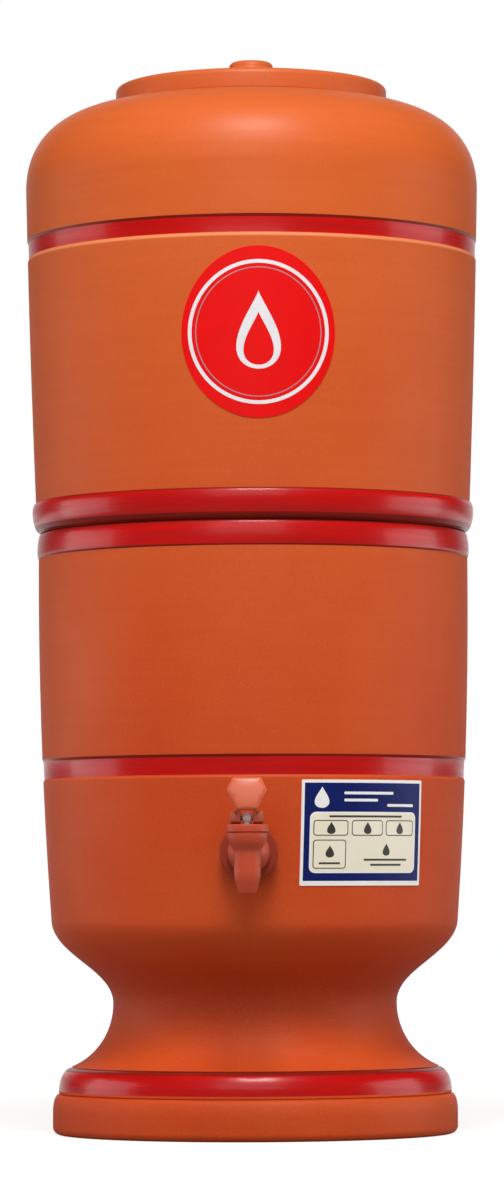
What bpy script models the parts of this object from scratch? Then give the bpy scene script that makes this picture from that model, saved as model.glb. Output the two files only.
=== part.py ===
"""Clay water pot with tap: two nested clay vessels, a filter candle, a float valve and a lever tap.

Metres, +Z up. The pot stands on z = 0 and its tap faces -Y. The origin lies under the middle of the
whole outline, so the vessels' own axis stands a little behind it.
"""

import math

import bmesh
import bpy
from mathutils import Matrix, Vector
from mathutils.geometry import interpolate_bezier

# Clearances
SEAT_GAP = 0.0003
THREAD_GAP = 0.0003
RUNNING_GAP = 0.0003
SPIGOT_CLEARANCE = 0.0010
LIP_CLEARANCE = 0.0010
HOLE_CLEARANCE = 0.0008
CUT_OVERRUN = 0.0050
MERGE_DISTANCE = 0.000001

# Foot
FOOT_RADIUS = 0.1069
FOOT_EDGE_RADIUS = 0.0040
PLINTH_HEIGHT = 0.0210
PLINTH_TOP_INSET = 0.0030
PLINTH_TOP_DROP = 0.0090
FOOT_BAND_RADIUS = 0.1037
FOOT_BAND_HEIGHT = 0.0140
FOOT_BAND_ROUND = 0.0070
FOOT_BAND_DROP = 0.0120
FOOT_WALL = 0.0090
COVE_HEIGHT = 0.0340
WAIST_RADIUS = 0.0750
WAIST_WALL = 0.0105

# Lower vessel
BOWL_CURVE_HEIGHT = 0.0440
LOWER_BASE_RADIUS = 0.1075
LOWER_TOP_RADIUS = 0.1137
LOWER_BELLY = 0.0021
LOWER_WALL_HEIGHT = 0.2038
LOWER_WALL = 0.0092
LOWER_FLOOR_DROP = 0.0080
LOWER_FLOOR = 0.0100
BOWL_CORNER_RADIUS = 0.0190
HOLLOW_CORNER_RADIUS = 0.0120
LOWER_RING_HEIGHT = 0.0132
LOWER_RING_PROUD = 0.0010
RIM_CHAMFER = 0.0006
LOWER_BAND_BASE = 0.0725
LOWER_BAND_HEIGHT = 0.0115
BAND_DEPTH = 0.0005
BAND_SLOPE = 0.0004

# Upper vessel
UPPER_BASE_RADIUS = 0.1146
UPPER_TOP_RADIUS = 0.1202
UPPER_BELLY = 0.0005
UPPER_WALL_HEIGHT = 0.1832
UPPER_WALL = 0.0090
UPPER_FLOOR = 0.0110
UPPER_CORNER_RADIUS = 0.0120
UPPER_RING_HEIGHT = 0.0158
UPPER_RING_PROUD = 0.0026
UPPER_RING_UNDERCUT = 0.0012
UPPER_BAND_BASE = 0.1446
UPPER_BAND_HEIGHT = 0.0107
SPIGOT_DEPTH = 0.0200
SPIGOT_EDGE_RADIUS = 0.0040
SHOULDER_HEIGHT = 0.0444
MOUTH_LAND_RADIUS = 0.0745
MOUTH_RADIUS = 0.0615

# Lid
LID_RADIUS = 0.0722
LID_RIM_HEIGHT = 0.0105
LID_EDGE_RADIUS = 0.0030
LID_DOME_HEIGHT = 0.0045
LID_PLATE = 0.0070
LIP_DEPTH = 0.0100
LIP_WALL = 0.0060
KNOB_RADIUS = 0.0118
KNOB_EDGE_RADIUS = 0.0030
KNOB_FLARE_RADIUS = 0.0350
KNOB_HEIGHT = 0.0093

# Filter candle
CANDLE_RADIUS = 0.0290
CANDLE_HEIGHT = 0.1020
CANDLE_DOME_HEIGHT = 0.0220
CANDLE_WALL = 0.0070
CORE_RADIUS = 0.0150
CORE_HEIGHT = 0.0700
CORE_CHAMFER = 0.0015
BASE_CUP_WALL = 0.0022
BASE_CUP_DEPTH = 0.0100
BASE_PLATE = 0.0045
STEM_RADIUS = 0.0060
STEM_BORE_RADIUS = 0.0025
GASKET_RADIUS = 0.0200
GASKET_THICKNESS = 0.0030
LOWER_WASHER_RADIUS = 0.0170
LOWER_WASHER_THICKNESS = 0.0020
WING_HUB_RADIUS = 0.0105
WING_HUB_HEIGHT = 0.0100
WING_SPAN = 0.0460
WING_THICKNESS = 0.0035
WING_HEIGHT = 0.0130
WING_RAKE = 0.0040

# Float valve
CAGE_RADIUS = 0.0300
CAGE_WALL = 0.0022
CAGE_PLATE = 0.0025
CAGE_SOCKET_RADIUS = 0.0095
CAGE_SOCKET_HEIGHT = 0.0100
CAGE_LIP_WIDTH = 0.0080
CAGE_RIB_DEGREES = 26
CAGE_RIBS = 3
FLOAT_RADIUS = 0.0262
FLOAT_HEIGHT = 0.0170
FLOAT_EDGE_RADIUS = 0.0020
FLOAT_TRAVEL = 0.0040
PLUG_RADIUS = 0.0045
PLUG_FLANGE_RADIUS = 0.0070
PLUG_FLANGE_THICKNESS = 0.0015
PLUG_STUB_RADIUS = 0.0025
PLUG_STUB_LENGTH = 0.0040
FLOAT_WALL = 0.0020

# Tap: flange and shank, measured outwards from the wall along the shank's axis
TAP_CORNER_GAP = 0.0080
SPOUT_REACH = 0.0360
WASHER_THICKNESS = 0.0030
WASHER_RADIUS = 0.0130
FLANGE_RADIUS = 0.0148
FLANGE_THICKNESS = 0.0035
FLANGE_EDGE_RADIUS = 0.0010
BOSS_RADIUS = 0.0108
BOSS_LENGTH = 0.0030
BOSS_TAPER = 0.0060
SHANK_RADIUS = 0.0060
TAIL_RADIUS = 0.0080
TAIL_BEYOND_NUT = 0.0040
INLET_RADIUS = 0.0032
NUT_THICKNESS = 0.0080
NUT_ACROSS_FLATS = 0.0260
NUT_EDGE_RADIUS = 0.0008

# Tap: valve body, measured up and down from the shank's axis
SPOUT_DROP = 0.0208
SPOUT_END_RADIUS = 0.0043
SPOUT_RADIUS = 0.0068
SPOUT_TAPER_HEIGHT = 0.0080
FUNNEL_START = -0.0010
FUNNEL_RADIUS = 0.0102
FUNNEL_TOP = 0.0096
THROAT_RADIUS = 0.0031
VALVE_SEAT_DROP = 0.0080
CHAMBER_RADIUS = 0.0049
CHAMBER_TOP_RADIUS = 0.0074
CHAMBER_FLARE_START = 0.0030
CHAMBER_FLARE_HEIGHT = 0.0040
NECK_RADIUS = 0.0088
NECK_HEIGHT = 0.0018
BONNET_RADIUS = 0.0106
BONNET_TOP_THICKNESS = 0.0020
BONNET_EDGE_RADIUS = 0.0008

# Tap: stem, valve cup and spring
STEM_ROD_RADIUS = 0.0021
EYE_RADIUS = 0.0029
EYE_THICKNESS = 0.0044
COLLAR_RADIUS = 0.0046
COLLAR_HEIGHT = 0.0010
COLLAR_THICKNESS = 0.0013
CUP_RADIUS = 0.0042
CUP_HEIGHT = 0.0036
CUP_POCKET_DEPTH = 0.0024
SPRING_RADIUS = 0.0038
SPRING_WIRE_RADIUS = 0.0004
SPRING_TURNS = 5

# Tap: lever
PIN_RADIUS = 0.0012
HEEL_HEIGHT = 0.0029
HEEL_BACK = 0.0036
CAM_LIFT_PER_RADIAN = 0.0040
LEVER_TRAVEL = math.radians(35)
CAM_OVERRUN = math.radians(4)
CHEEK_SPREAD = 0.0164
CLEVIS_WIDTH = 0.0064
CLEVIS_DEPTH = 0.0036
CHEEK_TOP = 0.0034
NECK_WIDTH = 0.0096
PADDLE_BASE_HEIGHT = 0.0045
PADDLE_HEIGHT = 0.0170
PADDLE_WIDTH = 0.0202
PADDLE_THICKNESS = 0.0034
PADDLE_FORWARD = 0.0100
PADDLE_LEAN = math.radians(14)
PADDLE_EDGE_RADIUS = 0.0011
CHEEK_EDGE_RADIUS = 0.0004

# Stickers: width straight across, height, middle height, and direction from the tap towards +X
STICKER_THICKNESS = 0.0003
FRONT_LABEL_WIDTH = 0.0785
FRONT_LABEL_HEIGHT = 0.0880
FRONT_LABEL_MIDDLE = 0.4120
FRONT_LABEL_TURN = math.radians(3)
RATING_LABEL_WIDTH = 0.0726
RATING_LABEL_CORNER = 0.0020
RATING_LABEL_HEIGHT = 0.0540
RATING_LABEL_MIDDLE = 0.1570
RATING_LABEL_TURN = math.radians(33)

# How finely round forms are divided
VESSEL_SEGMENTS = 36
SMALL_SEGMENTS = 20
FINE_SEGMENTS = 16
SPRING_POINTS_PER_TURN = 8
CAM_STEPS = 6
STICKER_STEPS = 3

# Outline shares
BOWL_HANDLE_SHARES = (0.42, 0.40)
COVE_HANDLE_SHARES = (0.52, 0.13)
COVE_REACH_SHARE = 0.50
SHOULDER_HANDLE_SHARES = (0.54, 0.084)
SHOULDER_REACH_SHARE = 0.328
KNOB_HANDLE_SHARES = (0.45, 0.75)
PADDLE_OUTLINE_SHARES = ((-0.25, 0), (-0.50, 0.62), (-0.36, 1), (0.36, 1), (0.50, 0.62), (0.25, 0))
FUNNEL_HANDLE_SHARES = (0.10, 0.45)
PADDLE_BRACE_SHARE = 0.45
ROUND_PROFILE = 0.5

# Levels and radii worked out from the sizes above, over the surface that the pot stands on
FOOT_BAND_TOP = PLINTH_HEIGHT + FOOT_BAND_HEIGHT
WAIST = FOOT_BAND_TOP + COVE_HEIGHT
LOWER_WALL_BASE = WAIST + BOWL_CURVE_HEIGHT
LOWER_RIM = LOWER_WALL_BASE + LOWER_WALL_HEIGHT
LOWER_FLOOR_TOP = LOWER_WALL_BASE - LOWER_FLOOR_DROP
NUT_CORNER_RADIUS = NUT_ACROSS_FLATS / 2 / math.cos(math.pi / 6)
TAP_HEIGHT = LOWER_FLOOR_TOP + BOWL_CORNER_RADIUS + TAP_CORNER_GAP + NUT_CORNER_RADIUS
UPPER_SEAT = LOWER_RIM + SEAT_GAP
UPPER_UNDERSIDE = UPPER_SEAT - SPIGOT_DEPTH
UPPER_FLOOR_TOP = UPPER_UNDERSIDE + UPPER_FLOOR
SHOULDER_START = UPPER_SEAT + UPPER_WALL_HEIGHT
MOUTH_TOP = SHOULDER_START + SHOULDER_HEIGHT
LID_SEAT = MOUTH_TOP + SEAT_GAP

# Radii worked out from the sizes above
SPIGOT_RADIUS = LOWER_TOP_RADIUS - LOWER_WALL - SPIGOT_CLEARANCE
CANDLE_HOLE_RADIUS = STEM_RADIUS + HOLE_CLEARANCE
LIP_RADIUS = MOUTH_RADIUS - LIP_CLEARANCE
TAP_HOLE_RADIUS = TAIL_RADIUS + HOLE_CLEARANCE


def bellied(share, base_radius, top_radius, belly):
    """Radius of a wall that leans from one radius to another and swells in between."""
    return base_radius + (top_radius - base_radius) * share + belly * 4 * share * (1 - share)


def lower_wall_radius(z):
    share = (z - LOWER_WALL_BASE) / LOWER_WALL_HEIGHT
    return bellied(share, LOWER_BASE_RADIUS, LOWER_TOP_RADIUS, LOWER_BELLY)


def upper_wall_radius(z):
    share = (z - UPPER_SEAT) / UPPER_WALL_HEIGHT
    return bellied(share, UPPER_BASE_RADIUS, UPPER_TOP_RADIUS, UPPER_BELLY)


# Places of the tap and of the vessels' axis, from the sizes above
TAP_WALL_RADIUS = lower_wall_radius(TAP_HEIGHT)
VALVE_AXIS = TAP_WALL_RADIUS + SPOUT_REACH
AXIS_OFFSET = (VALVE_AXIS + BONNET_RADIUS - UPPER_TOP_RADIUS) / 2
BONNET_UNDERSIDE = FUNNEL_TOP + NECK_HEIGHT + SEAT_GAP
BONNET_TOP = BONNET_UNDERSIDE + BONNET_TOP_THICKNESS
PIN_HEIGHT = BONNET_TOP + SEAT_GAP + HEEL_HEIGHT
FLANGE_BACK = WASHER_THICKNESS + SEAT_GAP


def clear_scene():
    for obj in list(bpy.data.objects):
        bpy.data.objects.remove(obj, do_unlink=True)


def make_material(name, colour, roughness, metallic=0):
    material = bpy.data.materials.new(name)
    material.use_nodes = True
    shader = material.node_tree.nodes["Principled BSDF"]
    shader.inputs["Base Color"].default_value = (*colour, 1)
    shader.inputs["Roughness"].default_value = roughness
    shader.inputs["Metallic"].default_value = metallic
    return material


def make_pivot(name, parent, x=0, y=0, z=0):
    """An empty that places the pieces parented to it."""
    pivot = bpy.data.objects.new(name, None)
    pivot.location = (x, y, z)
    pivot.parent = parent
    bpy.context.scene.collection.objects.link(pivot)
    return pivot


def finish_object(name, bm, material, parent, location=(0, 0, 0), tilt=0):
    """Closes the bmesh into an object. A tilt turns its own Z from up towards the tap's side."""
    bmesh.ops.remove_doubles(bm, verts=bm.verts, dist=MERGE_DISTANCE)
    bmesh.ops.recalc_face_normals(bm, faces=bm.faces)
    mesh = bpy.data.meshes.new(name)
    bm.to_mesh(mesh)
    bm.free()
    mesh.shade_smooth()
    mesh.set_sharp_from_angle(angle=math.radians(35))
    obj = bpy.data.objects.new(name, mesh)
    obj.location = location
    obj.rotation_euler.x = tilt
    obj.parent = parent
    bpy.context.scene.collection.objects.link(obj)
    if material:
        mesh.materials.append(material)
    else:
        obj.hide_render = True
        obj.display_type = "WIRE"
    return obj


def apply_boolean(obj, tool, operation):
    modifier = obj.modifiers.new(operation.title() + " " + tool.name, "BOOLEAN")
    modifier.operation = operation
    modifier.solver = "EXACT"
    modifier.object = tool


def arc(centre, radii, start, end, steps):
    """Points of an elliptical arc, in degrees from the outward direction."""
    points = []
    for step in range(steps + 1):
        angle = math.radians(start + (end - start) * step / steps)
        points.append((centre[0] + radii[0] * math.cos(angle), centre[1] + radii[1] * math.sin(angle)))
    return points


def curve(start, start_handle, end_handle, end, steps):
    """Points of one Bezier stretch of an outline."""
    knots = [Vector(point) for point in (start, start_handle, end_handle, end)]
    return [tuple(point) for point in interpolate_bezier(*knots, steps + 1)]


def bead(low, high, proud, steps):
    """Points of a rounded ring that stands proud of the line between two outline points."""
    points = []
    for step in range(steps + 1):
        turn = math.pi * step / steps
        share = (1 - math.cos(turn)) / 2
        radius = low[0] + (high[0] - low[0]) * share + proud * math.sin(turn)
        points.append((radius, low[1] + (high[1] - low[1]) * share))
    return points


def band(wall_radius, base, height):
    """Points of a shallow painted band, sunk into the wall."""
    top = base + height
    return [
        (wall_radius(base), base),
        (wall_radius(base) - BAND_DEPTH, base + BAND_SLOPE),
        (wall_radius(top) - BAND_DEPTH, top - BAND_SLOPE),
        (wall_radius(top), top),
    ]


def wall(wall_radius, low, high, steps, inset=0):
    """Points up a wall, between two heights."""
    heights = [low + (high - low) * step / steps for step in range(steps + 1)]
    return [(wall_radius(z) - inset, z) for z in heights]


def lathe(outline, segments, sweep=math.tau, start=0):
    """A bmesh turned about Z from an outline of (radius, height) points, given in one direction."""
    bm = bmesh.new()
    verts = [bm.verts.new((radius, 0, height)) for radius, height in outline]
    turned = Matrix.Rotation(start, 3, "Z")
    bmesh.ops.rotate(bm, verts=verts, cent=(0, 0, 0), matrix=turned)
    whole = math.isclose(sweep, math.tau)
    if whole:
        geometry = verts + [bm.edges.new(pair) for pair in zip(verts, verts[1:])]
        if outline[0][0] > 0:
            geometry.append(bm.edges.new((verts[-1], verts[0])))
    else:
        face = bm.faces.new(verts)
        geometry = verts + list(face.edges) + [face]
    bmesh.ops.spin(
        bm, geom=geometry, cent=(0, 0, 0), axis=(0, 0, 1), angle=sweep, steps=segments, use_merge=whole
    )
    return bm


def prism(outline, width):
    """A bmesh of an outline of (y, z) points, extruded evenly to both sides along X."""
    bm = bmesh.new()
    face = bm.faces.new([bm.verts.new((-width / 2, y, z)) for y, z in outline])
    extruded = bmesh.ops.extrude_face_region(bm, geom=[face])["geom"]
    moved = [item for item in extruded if isinstance(item, bmesh.types.BMVert)]
    bmesh.ops.translate(bm, verts=moved, vec=(width, 0, 0))
    bmesh.ops.recalc_face_normals(bm, faces=bm.faces)
    return bm


def round_edges(bm, radius, segments, chosen=None):
    edges = [edge for edge in bm.edges if chosen is None or chosen(edge)]
    bmesh.ops.bevel(bm, geom=edges, offset=radius, segments=segments, profile=ROUND_PROFILE, affect="EDGES")


def lower_vessel_outline():
    """Half section of the lower vessel and its foot, from the floor's middle round to the foot's hollow."""
    floor_under = LOWER_FLOOR_TOP - LOWER_FLOOR
    corner_top = LOWER_FLOOR_TOP + BOWL_CORNER_RADIUS
    corner = lower_wall_radius(corner_top) - LOWER_WALL - BOWL_CORNER_RADIUS
    inside = [(0, LOWER_FLOOR_TOP)]
    inside += arc((corner, corner_top), (BOWL_CORNER_RADIUS, BOWL_CORNER_RADIUS), -90, 0, 3)
    inside += wall(lower_wall_radius, corner_top, LOWER_RIM - RIM_CHAMFER, 5, LOWER_WALL)[1:]
    bore = LOWER_TOP_RADIUS - LOWER_WALL
    ring_base = LOWER_RIM - LOWER_RING_HEIGHT
    ring_low = (lower_wall_radius(ring_base), ring_base)
    ring_high = (LOWER_TOP_RADIUS - RIM_CHAMFER, LOWER_RIM - RIM_CHAMFER)
    rim = [(bore + RIM_CHAMFER, LOWER_RIM), (ring_high[0] - RIM_CHAMFER, LOWER_RIM)]
    rim += reversed(bead(ring_low, ring_high, LOWER_RING_PROUD, 4))
    band_base = LOWER_WALL_BASE + LOWER_BAND_BASE
    band_top = band_base + LOWER_BAND_HEIGHT
    outside = wall(lower_wall_radius, band_top, ring_base, 3)[-2:0:-1]
    outside += reversed(band(lower_wall_radius, band_base, LOWER_BAND_HEIGHT))
    outside += wall(lower_wall_radius, LOWER_WALL_BASE, band_base, 3)[-2::-1]
    return inside + rim + outside + bowl_underside() + foot_outside() + foot_hollow(floor_under)


def bowl_underside():
    start = (LOWER_BASE_RADIUS, LOWER_WALL_BASE)
    low, high = BOWL_HANDLE_SHARES
    first = (LOWER_BASE_RADIUS, LOWER_WALL_BASE - BOWL_CURVE_HEIGHT * low)
    second = (WAIST_RADIUS, WAIST + BOWL_CURVE_HEIGHT * high)
    return curve(start, first, second, (WAIST_RADIUS, WAIST), 7)[1:]


def cove(waist_radius, foot_radius, top, bottom, steps):
    """The hollow curve that runs down from the waist and out to the foot."""
    height = top - bottom
    first = (waist_radius, top - height * COVE_HANDLE_SHARES[0])
    reach = waist_radius + (foot_radius - waist_radius) * COVE_REACH_SHARE
    second = (reach, bottom + height * COVE_HANDLE_SHARES[1])
    return curve((waist_radius, top), first, second, (foot_radius, bottom), steps)


def foot_outside():
    band_centre = (FOOT_BAND_RADIUS - FOOT_BAND_ROUND, FOOT_BAND_TOP - FOOT_BAND_DROP)
    top_centre = (FOOT_RADIUS - PLINTH_TOP_INSET, PLINTH_HEIGHT - PLINTH_TOP_DROP)
    edge_centre = (FOOT_RADIUS - FOOT_EDGE_RADIUS, FOOT_EDGE_RADIUS)
    outside = cove(WAIST_RADIUS, band_centre[0], WAIST, FOOT_BAND_TOP, 5)[1:-1]
    outside += arc(band_centre, (FOOT_BAND_ROUND, FOOT_BAND_DROP), 90, 0, 3)
    outside.append((FOOT_BAND_RADIUS, PLINTH_HEIGHT + BAND_SLOPE))
    outside += arc(top_centre, (PLINTH_TOP_INSET, PLINTH_TOP_DROP), 90, 0, 2)
    outside += arc(edge_centre, (FOOT_EDGE_RADIUS, FOOT_EDGE_RADIUS), 0, -90, 3)
    return outside


def foot_hollow(ceiling):
    """The open hollow under the foot, which leaves a ring to stand on."""
    waist_inside = WAIST_RADIUS - WAIST_WALL
    foot_inside = FOOT_BAND_RADIUS - FOOT_WALL
    corner = (waist_inside - HOLLOW_CORNER_RADIUS, ceiling - HOLLOW_CORNER_RADIUS)
    inside = [(foot_inside + BAND_DEPTH, 0), (foot_inside, BAND_SLOPE)]
    inside += reversed(cove(waist_inside, foot_inside, WAIST, PLINTH_HEIGHT, 3))
    inside += arc(corner, (HOLLOW_CORNER_RADIUS, HOLLOW_CORNER_RADIUS), 0, 90, 2)
    return inside + [(0, ceiling)]


def upper_vessel_outline():
    """Half section of the upper vessel, from the candle's hole up the inside and down the outside."""
    floor_reach = SPIGOT_RADIUS - UPPER_WALL - UPPER_CORNER_RADIUS
    floor_corner = UPPER_FLOOR_TOP + UPPER_CORNER_RADIUS
    inside = [(CANDLE_HOLE_RADIUS, UPPER_UNDERSIDE), (CANDLE_HOLE_RADIUS, UPPER_FLOOR_TOP)]
    inside += arc((floor_reach, floor_corner), (UPPER_CORNER_RADIUS, UPPER_CORNER_RADIUS), -90, 0, 3)
    flare_top = UPPER_SEAT + UPPER_RING_HEIGHT
    inside += wall(upper_wall_radius, flare_top, SHOULDER_START, 3, UPPER_WALL)
    inside += shoulder(UPPER_TOP_RADIUS - UPPER_WALL, MOUTH_RADIUS, SHOULDER_HEIGHT - UPPER_WALL, 4)[1:]
    mouth = [(MOUTH_RADIUS, MOUTH_TOP - RIM_CHAMFER), (MOUTH_RADIUS + RIM_CHAMFER, MOUTH_TOP)]
    outside = shoulder(UPPER_TOP_RADIUS, MOUTH_LAND_RADIUS, SHOULDER_HEIGHT, 7)[::-1]
    band_base = UPPER_SEAT + UPPER_BAND_BASE
    outside += wall(upper_wall_radius, band_base + UPPER_BAND_HEIGHT, SHOULDER_START, 2)[-2:0:-1]
    outside += reversed(band(upper_wall_radius, band_base, UPPER_BAND_HEIGHT))
    outside += wall(upper_wall_radius, flare_top, band_base, 3)[-2:0:-1]
    ring_low = (UPPER_BASE_RADIUS - UPPER_RING_UNDERCUT, UPPER_SEAT + RIM_CHAMFER)
    outside += reversed(bead(ring_low, (upper_wall_radius(flare_top), flare_top), UPPER_RING_PROUD, 5))
    outside.append((ring_low[0] - RIM_CHAMFER, UPPER_SEAT))
    edge_centre = (SPIGOT_RADIUS - SPIGOT_EDGE_RADIUS, UPPER_UNDERSIDE + SPIGOT_EDGE_RADIUS)
    spigot = [(SPIGOT_RADIUS, UPPER_SEAT)]
    spigot += arc(edge_centre, (SPIGOT_EDGE_RADIUS, SPIGOT_EDGE_RADIUS), 0, -90, 2)
    return inside + mouth + outside + spigot


def shoulder(side_radius, mouth_radius, height, steps):
    """The rounded stretch from the wall in to the mouth."""
    top = (mouth_radius, SHOULDER_START + height)
    first = (side_radius, SHOULDER_START + height * SHOULDER_HANDLE_SHARES[0])
    reach = side_radius - (side_radius - mouth_radius) * SHOULDER_REACH_SHARE
    second = (reach, top[1] - height * SHOULDER_HANDLE_SHARES[1])
    return curve((side_radius, SHOULDER_START), first, second, top, steps)


def lid_outline():
    """Half section of the lid: knob, dome, rim, locating lip and the hollow inside the lip."""
    rim_top = LID_SEAT + LID_RIM_HEIGHT
    dome_top = rim_top + LID_DOME_HEIGHT
    knob_top = dome_top + KNOB_HEIGHT
    knob_edge = (KNOB_RADIUS - KNOB_EDGE_RADIUS, knob_top - KNOB_EDGE_RADIUS)
    top = [(0, knob_top)] + arc(knob_edge, (KNOB_EDGE_RADIUS, KNOB_EDGE_RADIUS), 90, 0, 3)
    flare = KNOB_FLARE_RADIUS - KNOB_RADIUS
    drop = knob_edge[1] - dome_top
    first = (KNOB_RADIUS, knob_edge[1] - drop * KNOB_HANDLE_SHARES[0])
    second = (KNOB_FLARE_RADIUS - flare * KNOB_HANDLE_SHARES[1], dome_top)
    top += curve((KNOB_RADIUS, knob_edge[1]), first, second, (KNOB_FLARE_RADIUS, dome_top), 4)[1:]
    edge = (LID_RADIUS - LID_EDGE_RADIUS, rim_top - LID_EDGE_RADIUS)
    top += arc(edge, (LID_EDGE_RADIUS, LID_EDGE_RADIUS), 90, 0, 3)
    lip_bottom = LID_SEAT - LIP_DEPTH
    ceiling = dome_top - LID_PLATE
    lip_inside = LIP_RADIUS - LIP_WALL
    under = [(LID_RADIUS, LID_SEAT), (LIP_RADIUS, LID_SEAT)]
    under += [(LIP_RADIUS, lip_bottom + RIM_CHAMFER), (LIP_RADIUS - RIM_CHAMFER, lip_bottom)]
    under += [(lip_inside + RIM_CHAMFER, lip_bottom), (lip_inside, lip_bottom + RIM_CHAMFER)]
    return top + under + [(lip_inside, ceiling), (0, ceiling)]


def rounded_rectangle(width, height, corner, steps):
    """Outline of an upright rectangle about the origin, with round corners."""
    points = []
    for number, (side, end) in enumerate(((1, 1), (-1, 1), (-1, -1), (1, -1))):
        centre = (side * (width / 2 - corner), end * (height / 2 - corner))
        points += arc(centre, (corner, corner), 90 * number, 90 * number + 90, steps)
    return points


def make_sticker(name, wall_radius, outline, middle, turn, material, pot):
    """A thin sticker that lies on the wall: a sleeve round the vessel, kept only inside the outline."""
    reach = max(up for across, up in outline) + CUT_OVERRUN
    low, high = middle - reach, middle + reach
    sleeve = wall(wall_radius, low, high, STICKER_STEPS, -SEAT_GAP)
    sleeve += reversed(wall(wall_radius, low, high, STICKER_STEPS, -SEAT_GAP - STICKER_THICKNESS))
    sticker = finish_object(name, lathe(sleeve, VESSEL_SEGMENTS), material, pot)
    radius = wall_radius(middle)
    place = (radius * math.sin(turn), -radius * math.cos(turn), middle)
    tool = finish_object(name + "_keeper", prism(outline, radius), None, pot, place)
    tool.rotation_euler.z = turn - math.pi / 2
    apply_boolean(sticker, tool, "INTERSECT")


def make_vessels(pot, materials):
    lower = finish_object(
        "lower_vessel", lathe(lower_vessel_outline(), VESSEL_SEGMENTS), materials["clay"], pot
    )
    hole_length = LOWER_WALL + CUT_OVERRUN * 2
    hole_start = -LOWER_WALL - CUT_OVERRUN
    hole = lathe(
        [(0, hole_start), (TAP_HOLE_RADIUS, hole_start), (TAP_HOLE_RADIUS, hole_start + hole_length),
         (0, hole_start + hole_length)],
        SMALL_SEGMENTS,
    )
    place = (0, -TAP_WALL_RADIUS, TAP_HEIGHT)
    apply_boolean(lower, finish_object("tap_hole_cutter", hole, None, pot, place, math.pi / 2), "DIFFERENCE")
    upper_pivot = make_pivot("upper_vessel_lift", pot)
    finish_object(
        "upper_vessel", lathe(upper_vessel_outline(), VESSEL_SEGMENTS), materials["clay"], upper_pivot
    )
    lid_pivot = make_pivot("lid_lift", upper_pivot)
    finish_object("lid", lathe(lid_outline(), VESSEL_SEGMENTS), materials["clay"], lid_pivot)
    oval = arc((0, 0), (FRONT_LABEL_WIDTH / 2, FRONT_LABEL_HEIGHT / 2), 0, 360, SMALL_SEGMENTS * 2)[:-1]
    make_sticker("front_label", upper_wall_radius, oval, FRONT_LABEL_MIDDLE, FRONT_LABEL_TURN,
                 materials["front_label"], upper_pivot)
    plate = rounded_rectangle(RATING_LABEL_WIDTH, RATING_LABEL_HEIGHT, RATING_LABEL_CORNER, 3)
    make_sticker("rating_label", lower_wall_radius, plate, RATING_LABEL_MIDDLE, RATING_LABEL_TURN,
                 materials["rating_label"], pot)
    return upper_pivot


def ring(inner, outer, low, high):
    """Outline of a plain ring between two radii and two heights."""
    return [(inner, low), (inner, high), (outer, high), (outer, low)]


def plug(radius, low, high):
    """Outline of a plain round solid on the axis."""
    return [(0, low), (radius, low), (radius, high), (0, high)]


def disc(radius, steps):
    """Outline of a circle about the origin."""
    return arc((0, 0), (radius, radius), 0, 360, steps)[:-1]


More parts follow.
